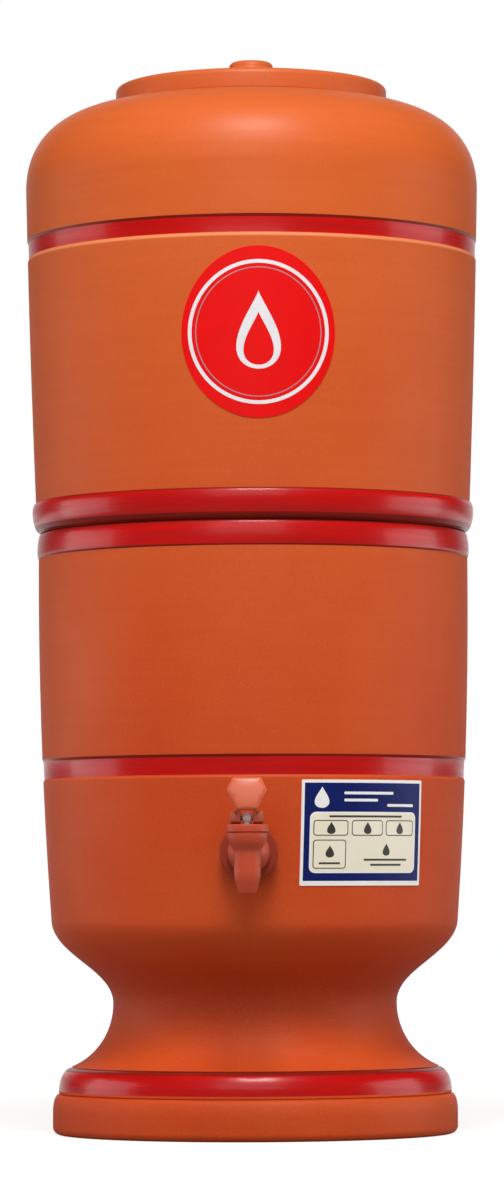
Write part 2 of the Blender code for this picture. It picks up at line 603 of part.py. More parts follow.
def make_candle(upper_pivot, materials):
    """The filter candle on the floor and what clamps it; returns the level of the nut's underside."""
    gasket_low = UPPER_FLOOR_TOP + SEAT_GAP
    gasket = ring(CANDLE_HOLE_RADIUS, GASKET_RADIUS, gasket_low, gasket_low + GASKET_THICKNESS)
    finish_object("candle_gasket", lathe(gasket, SMALL_SEGMENTS), materials["rubber"], upper_pivot)

    washer_high = UPPER_UNDERSIDE - SEAT_GAP
    washer_low = washer_high - LOWER_WASHER_THICKNESS
    washer = ring(CANDLE_HOLE_RADIUS, LOWER_WASHER_RADIUS, washer_low, washer_high)
    finish_object("candle_lower_washer", lathe(washer, SMALL_SEGMENTS), materials["rubber"], upper_pivot)

    nut_high = washer_low - SEAT_GAP
    nut_low = nut_high - WING_HUB_HEIGHT
    hub = ring(STEM_RADIUS + THREAD_GAP, WING_HUB_RADIUS, nut_low, nut_high)
    nut = finish_object("candle_wing_nut", lathe(hub, SMALL_SEGMENTS), materials["plastic"], upper_pivot)
    root = (STEM_RADIUS + WING_HUB_RADIUS) / 2
    tip = WING_SPAN / 2
    tip_high = nut_high - WING_RAKE
    for side in (-1, 1):
        wing = prism(
            [(side * root, nut_low), (side * root, nut_high), (side * tip, tip_high),
             (side * tip, tip_high - WING_HEIGHT), (side * WING_HUB_RADIUS, nut_low)],
            WING_THICKNESS,
        )
        round_edges(wing, WING_THICKNESS / 4, 1)
        tool = finish_object(f"wing_tool_{side + 1}", wing, None, upper_pivot)
        apply_boolean(nut, tool, "UNION")

    plate_low = gasket_low + GASKET_THICKNESS + SEAT_GAP
    plate_high = plate_low + BASE_PLATE
    cup_inside = CANDLE_RADIUS + RUNNING_GAP
    stem_end = nut_low - SEAT_GAP - CAGE_SOCKET_HEIGHT
    base = [
        (STEM_BORE_RADIUS, stem_end), (STEM_BORE_RADIUS, plate_high), (cup_inside, plate_high),
        (cup_inside, plate_high + BASE_CUP_DEPTH), (cup_inside + BASE_CUP_WALL, plate_high + BASE_CUP_DEPTH),
        (cup_inside + BASE_CUP_WALL, plate_low + BASE_CUP_WALL), (cup_inside, plate_low),
        (STEM_RADIUS, plate_low), (STEM_RADIUS, stem_end),
    ]
    finish_object("candle_base", lathe(base, SMALL_SEGMENTS), materials["plastic"], upper_pivot)

    low = plate_high + SEAT_GAP
    dome_low = low + CANDLE_HEIGHT - CANDLE_DOME_HEIGHT
    bore = CANDLE_RADIUS - CANDLE_WALL
    shell = arc((0, dome_low), (CANDLE_RADIUS, CANDLE_DOME_HEIGHT), 90, 0, 5)
    shell += [(CANDLE_RADIUS, low), (bore, low)]
    shell += arc((0, dome_low), (bore, CANDLE_DOME_HEIGHT - CANDLE_WALL), 0, 90, 3)
    shell[0], shell[-1] = (0, shell[0][1]), (0, shell[-1][1])
    finish_object("candle_element", lathe(shell, SMALL_SEGMENTS), materials["ceramic"], upper_pivot)
    core = [
        (0, low), (CORE_RADIUS, low), (CORE_RADIUS, low + CORE_HEIGHT - CORE_CHAMFER),
        (CORE_RADIUS - CORE_CHAMFER, low + CORE_HEIGHT), (0, low + CORE_HEIGHT),
    ]
    finish_object("candle_core", lathe(core, FINE_SEGMENTS), materials["carbon"], upper_pivot)
    return nut_low


def make_float_valve(upper_pivot, nut_low, materials):
    """A cage on the candle's stem, and the float in it whose plug rises to shut the stem's bore."""
    socket_top = nut_low - SEAT_GAP
    plate_top = socket_top - CAGE_SOCKET_HEIGHT
    plate_low = plate_top - CAGE_PLATE
    plug_top = plate_top - FLOAT_TRAVEL - SEAT_GAP
    flange_top = plug_top - CAGE_PLATE - RUNNING_GAP
    flange_low = flange_top - PLUG_FLANGE_THICKNESS
    float_top = flange_low - SEAT_GAP
    float_low = float_top - FLOAT_HEIGHT
    lip_top = float_low - SEAT_GAP
    lip_low = lip_top - CAGE_PLATE
    bore = STEM_RADIUS + THREAD_GAP
    inside = CAGE_RADIUS - CAGE_WALL
    lip = CAGE_RADIUS - CAGE_LIP_WIDTH
    cage = [
        (bore, socket_top), (CAGE_SOCKET_RADIUS, socket_top), (CAGE_SOCKET_RADIUS, plate_top),
        (CAGE_RADIUS, plate_top), (CAGE_RADIUS, lip_low), (lip, lip_low), (lip, lip_top),
        (inside, lip_top), (inside, plate_low), (bore, plate_low),
    ]
    housing = finish_object("float_housing", lathe(cage, SMALL_SEGMENTS), materials["plastic"], upper_pivot)
    spacing = math.tau / CAGE_RIBS
    opening = spacing - math.radians(CAGE_RIB_DEGREES)
    window = ring(inside - CAGE_WALL, CAGE_RADIUS + CUT_OVERRUN, lip_top + CAGE_WALL, plate_low - CAGE_WALL)
    for number in range(CAGE_RIBS):
        cut = lathe(window, SMALL_SEGMENTS // CAGE_RIBS, opening, spacing * number - opening / 2)
        tool = finish_object(f"float_window_cutter_{number + 1}", cut, None, upper_pivot)
        apply_boolean(housing, tool, "DIFFERENCE")

    float_pivot = make_pivot("float_slide", upper_pivot)
    pocket = PLUG_STUB_RADIUS + RUNNING_GAP
    pocket_low = float_top - PLUG_STUB_LENGTH - SEAT_GAP
    hollow = FLOAT_RADIUS - FLOAT_WALL
    shell = [(0, pocket_low), (pocket, pocket_low), (pocket, float_top)]
    edge = (FLOAT_RADIUS - FLOAT_EDGE_RADIUS, float_top - FLOAT_EDGE_RADIUS)
    shell += arc(edge, (FLOAT_EDGE_RADIUS, FLOAT_EDGE_RADIUS), 90, 0, 2)
    shell += [(FLOAT_RADIUS, float_low), (hollow, float_low), (hollow, float_top - FLOAT_WALL)]
    shell += [(pocket + FLOAT_WALL, float_top - FLOAT_WALL), (pocket + FLOAT_WALL, pocket_low - FLOAT_WALL)]
    shell += [(0, pocket_low - FLOAT_WALL)]
    finish_object("float_disc", lathe(shell, SMALL_SEGMENTS), materials["plastic"], float_pivot)
    stub_low = float_top - PLUG_STUB_LENGTH
    stopper = [
        (0, plug_top), (PLUG_RADIUS, plug_top), (PLUG_RADIUS, flange_top), (PLUG_FLANGE_RADIUS, flange_top),
        (PLUG_FLANGE_RADIUS, flange_low), (PLUG_STUB_RADIUS, flange_low), (PLUG_STUB_RADIUS, stub_low),
        (0, stub_low),
    ]
    finish_object("float_plug", lathe(stopper, FINE_SEGMENTS), materials["rubber"], float_pivot)


def make_tap_fixing(pot, tap_pivot, materials):
    """Washers and nut on the shank, shaped to the curved wall that they clamp."""
    upright = math.pi / 2
    low, high = TAP_HEIGHT - FLANGE_RADIUS * 2, TAP_HEIGHT + FLANGE_RADIUS * 2
    outer = ring(TAP_HOLE_RADIUS, WASHER_RADIUS, -WASHER_THICKNESS, WASHER_THICKNESS)
    outer_washer = finish_object(
        "tap_outer_washer", lathe(outer, SMALL_SEGMENTS), materials["rubber"], tap_pivot, tilt=upright
    )
    outside = [(0, low)] + wall(lower_wall_radius, low, high, 4, -SEAT_GAP) + [(0, high)]
    cutter = finish_object("outer_wall_cutter", lathe(outside, VESSEL_SEGMENTS), None, pot)
    apply_boolean(outer_washer, cutter, "DIFFERENCE")

    washer_back = -LOWER_WALL - SEAT_GAP - WASHER_THICKNESS
    inner = ring(TAP_HOLE_RADIUS, WASHER_RADIUS, washer_back, 0)
    inner_washer = finish_object(
        "tap_inner_washer", lathe(inner, SMALL_SEGMENTS), materials["rubber"], tap_pivot, tilt=upright
    )
    inside = [(0, low)] + wall(lower_wall_radius, low, high, 4, LOWER_WALL + SEAT_GAP) + [(0, high)]
    keeper = finish_object("inner_wall_keeper", lathe(inside, VESSEL_SEGMENTS), None, pot)
    apply_boolean(inner_washer, keeper, "INTERSECT")

    nut_face = washer_back - SEAT_GAP
    flat = NUT_CORNER_RADIUS - NUT_EDGE_RADIUS
    hexagon = [
        (0, nut_face), (flat, nut_face), (NUT_CORNER_RADIUS, nut_face - NUT_EDGE_RADIUS),
        (NUT_CORNER_RADIUS, nut_face - NUT_THICKNESS + NUT_EDGE_RADIUS),
        (flat, nut_face - NUT_THICKNESS), (0, nut_face - NUT_THICKNESS),
    ]
    nut = finish_object("tap_nut", lathe(hexagon, 6), materials["plastic"], tap_pivot, tilt=upright)
    bore = plug(TAIL_RADIUS + THREAD_GAP, nut_face - NUT_THICKNESS - CUT_OVERRUN, CUT_OVERRUN)
    tool = finish_object("tap_nut_bore_cutter", lathe(bore, SMALL_SEGMENTS), None, tap_pivot, tilt=upright)
    apply_boolean(nut, tool, "DIFFERENCE")
    return nut_face - NUT_THICKNESS - TAIL_BEYOND_NUT


def make_tap_body(tap_pivot, valve_pivot, tail_end, materials):
    """One moulding: flange, shank and tail along the wall's normal, and the upright valve with its spout."""
    upright = math.pi / 2
    neck_top = FUNNEL_TOP + NECK_HEIGHT
    taper_top = SPOUT_TAPER_HEIGHT - SPOUT_DROP
    funnel_height = FUNNEL_TOP - FUNNEL_START
    first = (
        FUNNEL_RADIUS - (FUNNEL_RADIUS - SPOUT_RADIUS) * FUNNEL_HANDLE_SHARES[0],
        FUNNEL_TOP - funnel_height * FUNNEL_HANDLE_SHARES[1],
    )
    second = (SPOUT_RADIUS, FUNNEL_START + funnel_height * FUNNEL_HANDLE_SHARES[1])
    outline = [(0, neck_top), (NECK_RADIUS, neck_top), (NECK_RADIUS, FUNNEL_TOP)]
    outline += curve((FUNNEL_RADIUS, FUNNEL_TOP), first, second, (SPOUT_RADIUS, FUNNEL_START), 4)
    outline += [(SPOUT_RADIUS, taper_top), (SPOUT_END_RADIUS, -SPOUT_DROP), (0, -SPOUT_DROP)]
    body = finish_object("tap_body", lathe(outline, SMALL_SEGMENTS), materials["tap"], valve_pivot)

    flange_front = FLANGE_BACK + FLANGE_THICKNESS
    boss_front = flange_front + BOSS_LENGTH
    shank = [
        (0, tail_end), (TAIL_RADIUS - NUT_EDGE_RADIUS, tail_end), (TAIL_RADIUS, tail_end + NUT_EDGE_RADIUS),
        (TAIL_RADIUS, FLANGE_BACK), (FLANGE_RADIUS, FLANGE_BACK),
        (FLANGE_RADIUS, flange_front - FLANGE_EDGE_RADIUS),
        (FLANGE_RADIUS - FLANGE_EDGE_RADIUS, flange_front),
        (BOSS_RADIUS, flange_front), (BOSS_RADIUS, boss_front), (SHANK_RADIUS, boss_front + BOSS_TAPER),
        (SHANK_RADIUS, SPOUT_REACH), (0, SPOUT_REACH),
    ]
    tool = finish_object("shank_tool", lathe(shank, SMALL_SEGMENTS), None, tap_pivot, tilt=upright)
    apply_boolean(body, tool, "UNION")

    bore = [
        (0, -SPOUT_DROP - CUT_OVERRUN), (THROAT_RADIUS, -SPOUT_DROP - CUT_OVERRUN),
        (THROAT_RADIUS, -VALVE_SEAT_DROP), (CHAMBER_RADIUS, -VALVE_SEAT_DROP),
        (CHAMBER_RADIUS, CHAMBER_FLARE_START),
        (CHAMBER_TOP_RADIUS, CHAMBER_FLARE_START + CHAMBER_FLARE_HEIGHT),
        (CHAMBER_TOP_RADIUS, neck_top + CUT_OVERRUN), (0, neck_top + CUT_OVERRUN),
    ]
    tool = finish_object("valve_bore_cutter", lathe(bore, SMALL_SEGMENTS), None, valve_pivot)
    apply_boolean(body, tool, "DIFFERENCE")
    inlet = lathe(plug(INLET_RADIUS, tail_end - CUT_OVERRUN, SPOUT_REACH), FINE_SEGMENTS)
    tool = finish_object("inlet_cutter", inlet, None, tap_pivot, tilt=upright)
    apply_boolean(body, tool, "DIFFERENCE")

    hole = EYE_RADIUS + RUNNING_GAP
    skirt = NECK_RADIUS + THREAD_GAP
    bonnet = [
        (hole, BONNET_UNDERSIDE), (hole, BONNET_TOP), (BONNET_RADIUS - BONNET_EDGE_RADIUS, BONNET_TOP),
        (BONNET_RADIUS, BONNET_TOP - BONNET_EDGE_RADIUS), (BONNET_RADIUS, FUNNEL_TOP + SEAT_GAP),
        (skirt, FUNNEL_TOP + SEAT_GAP), (skirt, BONNET_UNDERSIDE),
    ]
    finish_object("tap_bonnet", lathe(bonnet, SMALL_SEGMENTS), materials["tap"], valve_pivot)


def make_valve_stem(valve_pivot, materials):
    """The stem that the lever lifts, the silicone cup on its foot and the spring that closes it."""
    stem_pivot = make_pivot("tap_stem_slide", valve_pivot)
    cup_low = SEAT_GAP - VALVE_SEAT_DROP
    cup_high = cup_low + CUP_HEIGHT
    pocket = STEM_ROD_RADIUS + RUNNING_GAP
    pocket_low = cup_high - CUP_POCKET_DEPTH
    cup = [
        (0, cup_low), (CUP_RADIUS, cup_low), (CUP_RADIUS, cup_high), (pocket, cup_high),
        (pocket, pocket_low), (0, pocket_low),
    ]
    finish_object("tap_seat", lathe(cup, FINE_SEGMENTS), materials["silicone"], stem_pivot)

    collar_top = COLLAR_HEIGHT + COLLAR_THICKNESS
    rod_low = pocket_low + SEAT_GAP
    rod = [
        (0, rod_low), (STEM_ROD_RADIUS, rod_low), (STEM_ROD_RADIUS, COLLAR_HEIGHT),
        (COLLAR_RADIUS, COLLAR_HEIGHT), (COLLAR_RADIUS, collar_top), (STEM_ROD_RADIUS, collar_top),
        (STEM_ROD_RADIUS, PIN_HEIGHT), (0, PIN_HEIGHT),
    ]
    stem = finish_object("tap_stem", lathe(rod, FINE_SEGMENTS), materials["plastic"], stem_pivot)
    eye = prism(disc(EYE_RADIUS, FINE_SEGMENTS), EYE_THICKNESS)
    tool = finish_object("stem_eye_tool", eye, None, stem_pivot, (0, 0, PIN_HEIGHT))
    apply_boolean(stem, tool, "UNION")
    hole = prism(disc(PIN_RADIUS + RUNNING_GAP, FINE_SEGMENTS), CHEEK_SPREAD + CUT_OVERRUN)
    tool = finish_object("pin_hole_cutter", hole, None, stem_pivot, (0, 0, PIN_HEIGHT))
    apply_boolean(stem, tool, "DIFFERENCE")

    low = collar_top + SEAT_GAP + SPRING_WIRE_RADIUS
    high = BONNET_UNDERSIDE - SEAT_GAP - SPRING_WIRE_RADIUS
    coil = bpy.data.curves.new("tap_spring", "CURVE")
    coil.dimensions = "3D"
    coil.bevel_depth = SPRING_WIRE_RADIUS
    coil.bevel_resolution = 1
    coil.use_fill_caps = True
    coil.materials.append(materials["steel"])
    count = SPRING_TURNS * SPRING_POINTS_PER_TURN + 1
    spline = coil.splines.new("POLY")
    spline.points.add(count - 1)
    for number, point in enumerate(spline.points):
        share = number / (count - 1)
        angle = math.tau * SPRING_TURNS * share
        place = (SPRING_RADIUS * math.cos(angle), SPRING_RADIUS * math.sin(angle))
        point.co = (*place, low + (high - low) * share, 1)
    spring = bpy.data.objects.new("tap_spring", coil)
    spring.parent = valve_pivot
    bpy.context.scene.collection.objects.link(spring)
    return stem_pivot, tool


def lies_in_side(edge):
    first, second = edge.verts
    return math.isclose(first.co.x, second.co.x, abs_tol=MERGE_DISTANCE)


def cam_outline():
    """Side of the lever's cheeks about the pin: a flat heel, then an involute that lifts the pin evenly."""
    steps = CAM_STEPS
    outline = [(HEEL_BACK, -HEEL_HEIGHT)]
    for step in range(steps + 1):
        turn = (LEVER_TRAVEL + CAM_OVERRUN) * step / steps
        reach = HEEL_HEIGHT + CAM_LIFT_PER_RADIAN * turn
        forward = reach * math.sin(turn) + CAM_LIFT_PER_RADIAN * math.cos(turn)
        down = reach * math.cos(turn) - CAM_LIFT_PER_RADIAN * math.sin(turn)
        outline.append((-forward, -down))
    front = outline[-1][0]
    outline += [(front, 0), (front + CHEEK_TOP / 2, CHEEK_TOP)]
    outline += arc((0, 0), (HEEL_BACK, CHEEK_TOP), 90, 0, 4)
    return outline, front


def make_lever(stem_pivot, pin_hole, materials):
    """Lever with two cheeks astride the stem's eye, a forked neck above them and a six-sided paddle."""
    hinge = make_pivot("tap_lever_hinge", stem_pivot, z=PIN_HEIGHT)
    outline, front = cam_outline()
    cheeks = prism(outline, CHEEK_SPREAD)
    round_edges(cheeks, CHEEK_EDGE_RADIUS, 1, lies_in_side)
    lever = finish_object("tap_lever", cheeks, materials["tap"], hinge)
    lean = math.tan(PADDLE_LEAN)
    brace_top = PADDLE_BASE_HEIGHT + PADDLE_HEIGHT * PADDLE_BRACE_SHARE
    inside_paddle = PADDLE_THICKNESS / 2 - PADDLE_FORWARD
    neck = [
        (-CLEVIS_DEPTH, 0), (front, 0), (inside_paddle, PADDLE_BASE_HEIGHT + PADDLE_EDGE_RADIUS),
        (inside_paddle + (brace_top - PADDLE_BASE_HEIGHT) * lean, brace_top), (-CLEVIS_DEPTH, CHEEK_TOP),
    ]
    apply_boolean(lever, finish_object("neck_tool", prism(neck, NECK_WIDTH), None, hinge), "UNION")

    far_front, far_down = front - CUT_OVERRUN, -HEEL_HEIGHT - CUT_OVERRUN
    far_back, far_up = HEEL_BACK + CUT_OVERRUN, CHEEK_TOP + CUT_OVERRUN
    slot = prism(
        [(-CLEVIS_DEPTH, far_up), (-CLEVIS_DEPTH, PADDLE_BASE_HEIGHT), (far_front, PADDLE_BASE_HEIGHT),
         (far_front, far_down), (far_back, far_down), (far_back, far_up)],
        CLEVIS_WIDTH,
    )
    apply_boolean(lever, finish_object("clevis_cutter", slot, None, hinge), "DIFFERENCE")

    paddle = bmesh.new()
    corners = [(x * PADDLE_WIDTH, 0, up * PADDLE_HEIGHT) for x, up in PADDLE_OUTLINE_SHARES]
    face = paddle.faces.new([paddle.verts.new(corner) for corner in corners])
    extruded = bmesh.ops.extrude_face_region(paddle, geom=[face])["geom"]
    moved = [item for item in extruded if isinstance(item, bmesh.types.BMVert)]
    bmesh.ops.translate(paddle, verts=moved, vec=(0, PADDLE_THICKNESS, 0))
    bmesh.ops.recalc_face_normals(paddle, faces=paddle.faces)
    round_edges(paddle, PADDLE_EDGE_RADIUS, 2)
    tool = finish_object(
        "paddle_tool", paddle, None, hinge, (0, -PADDLE_FORWARD, PADDLE_BASE_HEIGHT), -PADDLE_LEAN
    )
    apply_boolean(lever, tool, "UNION")
    apply_boolean(lever, pin_hole, "DIFFERENCE")
    pin = prism(disc(PIN_RADIUS, FINE_SEGMENTS), CHEEK_SPREAD)
    finish_object("tap_pivot_pin", pin, materials["steel"], hinge)


def main():
    clear_scene()
    materials = {
        "clay": make_material("clay", (0.610, 0.107, 0.032), 0.85),
        "ceramic": make_material("ceramic", (0.850, 0.830, 0.780), 0.80),
        "carbon": make_material("carbon", (0.020, 0.020, 0.020), 0.90),
        "plastic": make_material("plastic", (0.780, 0.780, 0.760), 0.40),
        "tap": make_material("tap", (0.560, 0.150, 0.070), 0.35),
        "rubber": make_material("rubber", (0.030, 0.030, 0.030), 0.70),
        "silicone": make_material("silicone", (0.800, 0.800, 0.780), 0.50),
        "steel": make_material("steel", (0.600, 0.600, 0.600), 0.30, 1),
        "front_label": make_material("front_label", (0.790, 0.002, 0.001), 0.30),
        "rating_label": make_material("rating_label", (0.005, 0.038, 0.216), 0.35),
    }
    pot = make_pivot("pot_axis", None, y=AXIS_OFFSET)
    upper_pivot = make_vessels(pot, materials)
    make_float_valve(upper_pivot, make_candle(upper_pivot, materials), materials)
    tap_pivot = make_pivot("tap_mount", pot, y=-TAP_WALL_RADIUS, z=TAP_HEIGHT)
    valve_pivot = make_pivot("valve_axis", tap_pivot, y=-SPOUT_REACH)
    tail_end = make_tap_fixing(pot, tap_pivot, materials)
    make_tap_body(tap_pivot, valve_pivot, tail_end, materials)
    stem_pivot, pin_hole = make_valve_stem(valve_pivot, materials)
    make_lever(stem_pivot, pin_hole, materials)


main()
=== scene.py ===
"""Looks of the clay water pot with tap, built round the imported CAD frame.

Outlines are in millimetres, in the frame of the CAD, and pieces are made in metres.
"""

import math

import bmesh
import bpy
from mathutils import Matrix, Vector, noise
from mathutils.geometry import interpolate_bezier


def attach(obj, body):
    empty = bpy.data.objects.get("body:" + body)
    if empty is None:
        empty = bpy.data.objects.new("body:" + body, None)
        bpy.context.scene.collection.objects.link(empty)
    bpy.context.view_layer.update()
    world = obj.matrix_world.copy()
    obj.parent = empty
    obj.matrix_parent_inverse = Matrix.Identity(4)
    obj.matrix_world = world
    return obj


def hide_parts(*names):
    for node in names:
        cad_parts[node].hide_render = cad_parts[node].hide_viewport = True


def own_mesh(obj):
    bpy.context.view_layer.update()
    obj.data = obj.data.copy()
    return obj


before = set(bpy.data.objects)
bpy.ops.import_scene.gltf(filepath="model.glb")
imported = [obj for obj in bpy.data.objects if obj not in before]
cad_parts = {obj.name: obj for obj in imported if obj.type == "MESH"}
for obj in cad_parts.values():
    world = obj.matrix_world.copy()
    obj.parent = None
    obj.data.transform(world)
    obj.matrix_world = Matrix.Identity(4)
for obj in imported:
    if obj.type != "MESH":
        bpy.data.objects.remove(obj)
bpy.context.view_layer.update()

MM = 0.001
TINY = 1e-6

# How finely round forms are divided
VESSEL_SEGMENTS = 192
PIECE_SEGMENTS = 64
SMALL_SEGMENTS = 40
PIN_SEGMENTS = 28

# Vessels: their axis, and levels and radii that pieces share
AXIS_Y = 18.051
WAIST_Z = 69
WAIST_RADIUS = 75
LOWER_BASE_Z = 113
LOWER_BASE_RADIUS = 107.5
LOWER_TOP_RADIUS = 113.7
LOWER_BELLY = 2.1
LOWER_HEIGHT = 203.8
LOWER_THICKNESS = 9.2
LOWER_RIM_Z = 316.8
LOWER_RING_Z = 303.6
LOWER_BAND = (185.5, 197.0)
UPPER_SEAT_Z = 317.1
UPPER_BASE_RADIUS = 114.6
UPPER_TOP_RADIUS = 120.2
UPPER_BELLY = 0.5
UPPER_HEIGHT = 183.2
UPPER_THICKNESS = 9
UPPER_RING_Z = 332.9
UPPER_BAND = (461.7, 472.4)
UPPER_FLOOR_Z = 308.1
UPPER_UNDERSIDE_Z = 297.1
SHOULDER_Z = 500.3
SHOULDER_HEIGHT = 44.4
SHOULDER_LAND_RADIUS = 74.5
MOUTH_Z = 544.7
MOUTH_RADIUS = 61.5
LID_SEAT_Z = 545
BAND_DEPTH = 0.6
BAND_SLOPE = 1.1
TURNING_WEAR = 0.07

# Tap: places of its wall, shank, valve and pin
TAP_Z = 147.011
WALL_AT_TAP = 109.702
SPOUT_REACH = 36.0
VALVE_Y = AXIS_Y - WALL_AT_TAP - SPOUT_REACH
PIN_Z = 163.911
PADDLE_LEAN = 14
MOUTH_OF_SHANK = (0, AXIS_Y - WALL_AT_TAP, TAP_Z)
VALVE = (0, VALVE_Y, TAP_Z)
PIN = (0, VALVE_Y, PIN_Z)
PIN_HOLE_RADIUS = 1.5


# Outlines


def arc(centre, radii, start, end, steps):
    points = []
    for step in range(steps + 1):
        angle = math.radians(start + (end - start) * step / steps)
        across = centre[0] + radii[0] * math.cos(angle)
        points.append((across, centre[1] + radii[1] * math.sin(angle)))
    return points


def curve(start, first, second, end, steps):
    knots = [Vector(point) for point in (start, first, second, end)]
    return [tuple(point) for point in interpolate_bezier(*knots, steps + 1)]


def eased(points, steps=4, closed=False):
    """Outline of (across, up, setback): where there is a setback, the corner becomes a smooth bend."""
    made = []
    last = len(points) - 1
    for number, point in enumerate(points):
        here = Vector(point[:2])
        setback = point[2] if len(point) > 2 else 0
        if not setback or (not closed and number in (0, last)):
            made.append(tuple(here))
            continue
        following = points[(number + 1) % len(points)]
        before = here + (Vector(points[number - 1][:2]) - here).normalized() * setback
        after = here + (Vector(following[:2]) - here).normalized() * setback
        for step in range(steps + 1):
            share = step / steps
            bend = before * (1 - share) ** 2 + here * 2 * share * (1 - share) + after * share**2
            made.append(tuple(bend))
    return made


def bellied(share, base, top, belly):
    """Radius of a wall that leans from one radius to another and swells in between."""
    return base + (top - base) * share + belly * 4 * share * (1 - share)


def lower_wall(z):
    share = (z - LOWER_BASE_Z) / LOWER_HEIGHT
    return bellied(share, LOWER_BASE_RADIUS, LOWER_TOP_RADIUS, LOWER_BELLY)


def upper_wall(z):
    share = (z - UPPER_SEAT_Z) / UPPER_HEIGHT
    return bellied(share, UPPER_BASE_RADIUS, UPPER_TOP_RADIUS, UPPER_BELLY)


def wall(radius, low, high, spacing=4.0, inset=0.0):
    """Points up a wall, or down it, whose radius is a function of the height."""
    steps = max(1, round(abs(high - low) / spacing))
    heights = [low + (high - low) * step / steps for step in range(steps + 1)]
    return [(radius(z) - inset, z) for z in heights]


def rod(radius, low, high):
    return [(0, low), (radius, low), (radius, high), (0, high)]


def bead(low, high, proud, steps):
    """A rounded ring that stands proud of the line between two points."""
    points = []
    for step in range(steps + 1):
        turn = math.pi * step / steps
        share = (1 - math.cos(turn)) / 2
        radius = low[0] + (high[0] - low[0]) * share + proud * math.sin(turn)
        points.append((radius, low[1] + (high[1] - low[1]) * share))
    return points


def groove(radius, band, lip):
    """A shallow groove for a painted band, from above its top edge to below the lip at its base."""
    base, top = band
    beyond, upper_bend, lower_bend = 2, 0.5, 0.4
    return eased(
        [
            (radius(top + beyond), top + beyond),
            (radius(top), top, upper_bend),
            (radius(top) - BAND_DEPTH, top - BAND_SLOPE, upper_bend),
            (radius(base) - BAND_DEPTH, base + lip, lower_bend),
            (radius(base), base, lower_bend),
            (radius(base - beyond), base - beyond),
        ],
        3,
    )


# Meshes


def turned(outline, segments=PIECE_SEGMENTS, place=(0, AXIS_Y, 0), lying=False, worn=0.0):
    """A bmesh turned about a vertical axis, or about one that runs out along the tap's shank.

    Wear takes a little off the radius, in ridges that go round and in a slow sway.
    """
    ridge_pitch, ridge_offset, ridge_share = 0.16, 3.7, 0.6
    sway_turns, sway_pitch, sway_share = 1.3, 0.012, 0.4
    bm = bmesh.new()
    rings = []
    for radius, height in outline:
        ring = []
        for number in range(1 if radius < TINY else segments):
            angle = math.tau * number / segments
            side, forth = math.cos(angle), math.sin(angle)
            reach = radius
            if worn:
                ridge = noise.noise(Vector((0.0, ridge_offset, height * ridge_pitch)))
                around = (side * sway_turns, forth * sway_turns, height * sway_pitch)
                sway = noise.noise(Vector(around))
                reach -= worn * (1 + ridge_share * ridge + sway_share * sway)
            local = (reach * side, reach * forth, height)
            x, y, z = (local[0], -local[2], local[1]) if lying else local
            corner = ((place[0] + x) * MM, (place[1] + y) * MM, (place[2] + z) * MM)
            ring.append(bm.verts.new(corner))
        rings.append(ring)
    if outline[0][0] > TINY:
        rings.append(rings[0])
    for low, high in zip(rings, rings[1:]):
        for number in range(segments):
            after = (number + 1) % segments
            corners = [low[number % len(low)], low[after % len(low)]]
            corners += [high[after % len(high)], high[number % len(high)]]
            corners = list(dict.fromkeys(corners))
            if len(corners) > 2:
                bm.faces.new(corners)
    bmesh.ops.recalc_face_normals(bm, faces=bm.faces)
    return bm


def on_shank(outline, segments=PIECE_SEGMENTS):
    """A bmesh turned about the tap's shank, with heights that run out from the wall."""
    return turned(outline, segments, MOUTH_OF_SHANK, True)


def skinned(bm, first, second):
    """Faces between two closed rows of corners."""
    for number in range(len(first)):
        after = (number + 1) % len(first)
        bm.faces.new([first[number], first[after], second[after], second[number]])


def prism(outline, width, place=(0, 0, 0), across="x"):
    """A bmesh of a flat outline, extruded evenly to both sides along an axis."""
    bm = bmesh.new()

    def corner(side, point):
        local = list(point)
        local.insert("xyz".index(across), side)
        return bm.verts.new([(a + b) * MM for a, b in zip(place, local)])

    sides = [[corner(side, point) for point in outline] for side in (-width / 2, width / 2)]
    bm.faces.new(sides[0])
    bm.faces.new(sides[1][::-1])
    skinned(bm, *sides)
    bmesh.ops.recalc_face_normals(bm, faces=bm.faces)
    return bm


def tipped(bm, degrees, pivot):
    """Turns a bmesh about a line along X."""
    turn = Matrix.Rotation(math.radians(degrees), 3, "X")
    bmesh.ops.rotate(bm, verts=bm.verts, cent=[value * MM for value in pivot], matrix=turn)
    return bm


def linked(name, bm):
    bmesh.ops.remove_doubles(bm, verts=bm.verts, dist=1e-7)
    mesh = bpy.data.meshes.new(name)
    bm.to_mesh(mesh)
    bm.free()
    obj = bpy.data.objects.new(name, mesh)
    bpy.context.scene.collection.objects.link(obj)
    return obj


def bake_modifiers(obj):
    graph = bpy.context.evaluated_depsgraph_get()
    made = bpy.data.meshes.new_from_object(obj.evaluated_get(graph))
    old = obj.data
    obj.modifiers.clear()
    obj.data = made
    bpy.data.meshes.remove(old)


def combine(obj, bm, operation):
    tool = linked("tool", bm)
    modifier = obj.modifiers.new(operation, "BOOLEAN")
    modifier.operation = operation
    modifier.solver = "EXACT"
    modifier.object = tool
    bake_modifiers(obj)
    bpy.data.meshes.remove(tool.data)


def soften(obj, width, segments=3, limit=40):
    """Rounds every sharp edge, as a mould does."""
    modifier = obj.modifiers.new("soften", "BEVEL")
    modifier.width = width * MM
    modifier.segments = segments
    modifier.limit_method = "ANGLE"
    modifier.angle_limit = math.radians(limit)
    bake_modifiers(obj)


def finish(obj, materials, body, node=None, sharp=34):
    """Gives a piece its looks and its body; it stands for the CAD node where one is named."""
    if not isinstance(materials, (list, tuple)):
        materials = [materials]
    obj.data.materials.clear()
    for material in materials:
        obj.data.materials.append(material)
    obj.data.shade_smooth()
    obj.data.set_sharp_from_angle(angle=math.radians(sharp))
    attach(obj, body)
    if node:
        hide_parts(node)
    return obj


# Materials


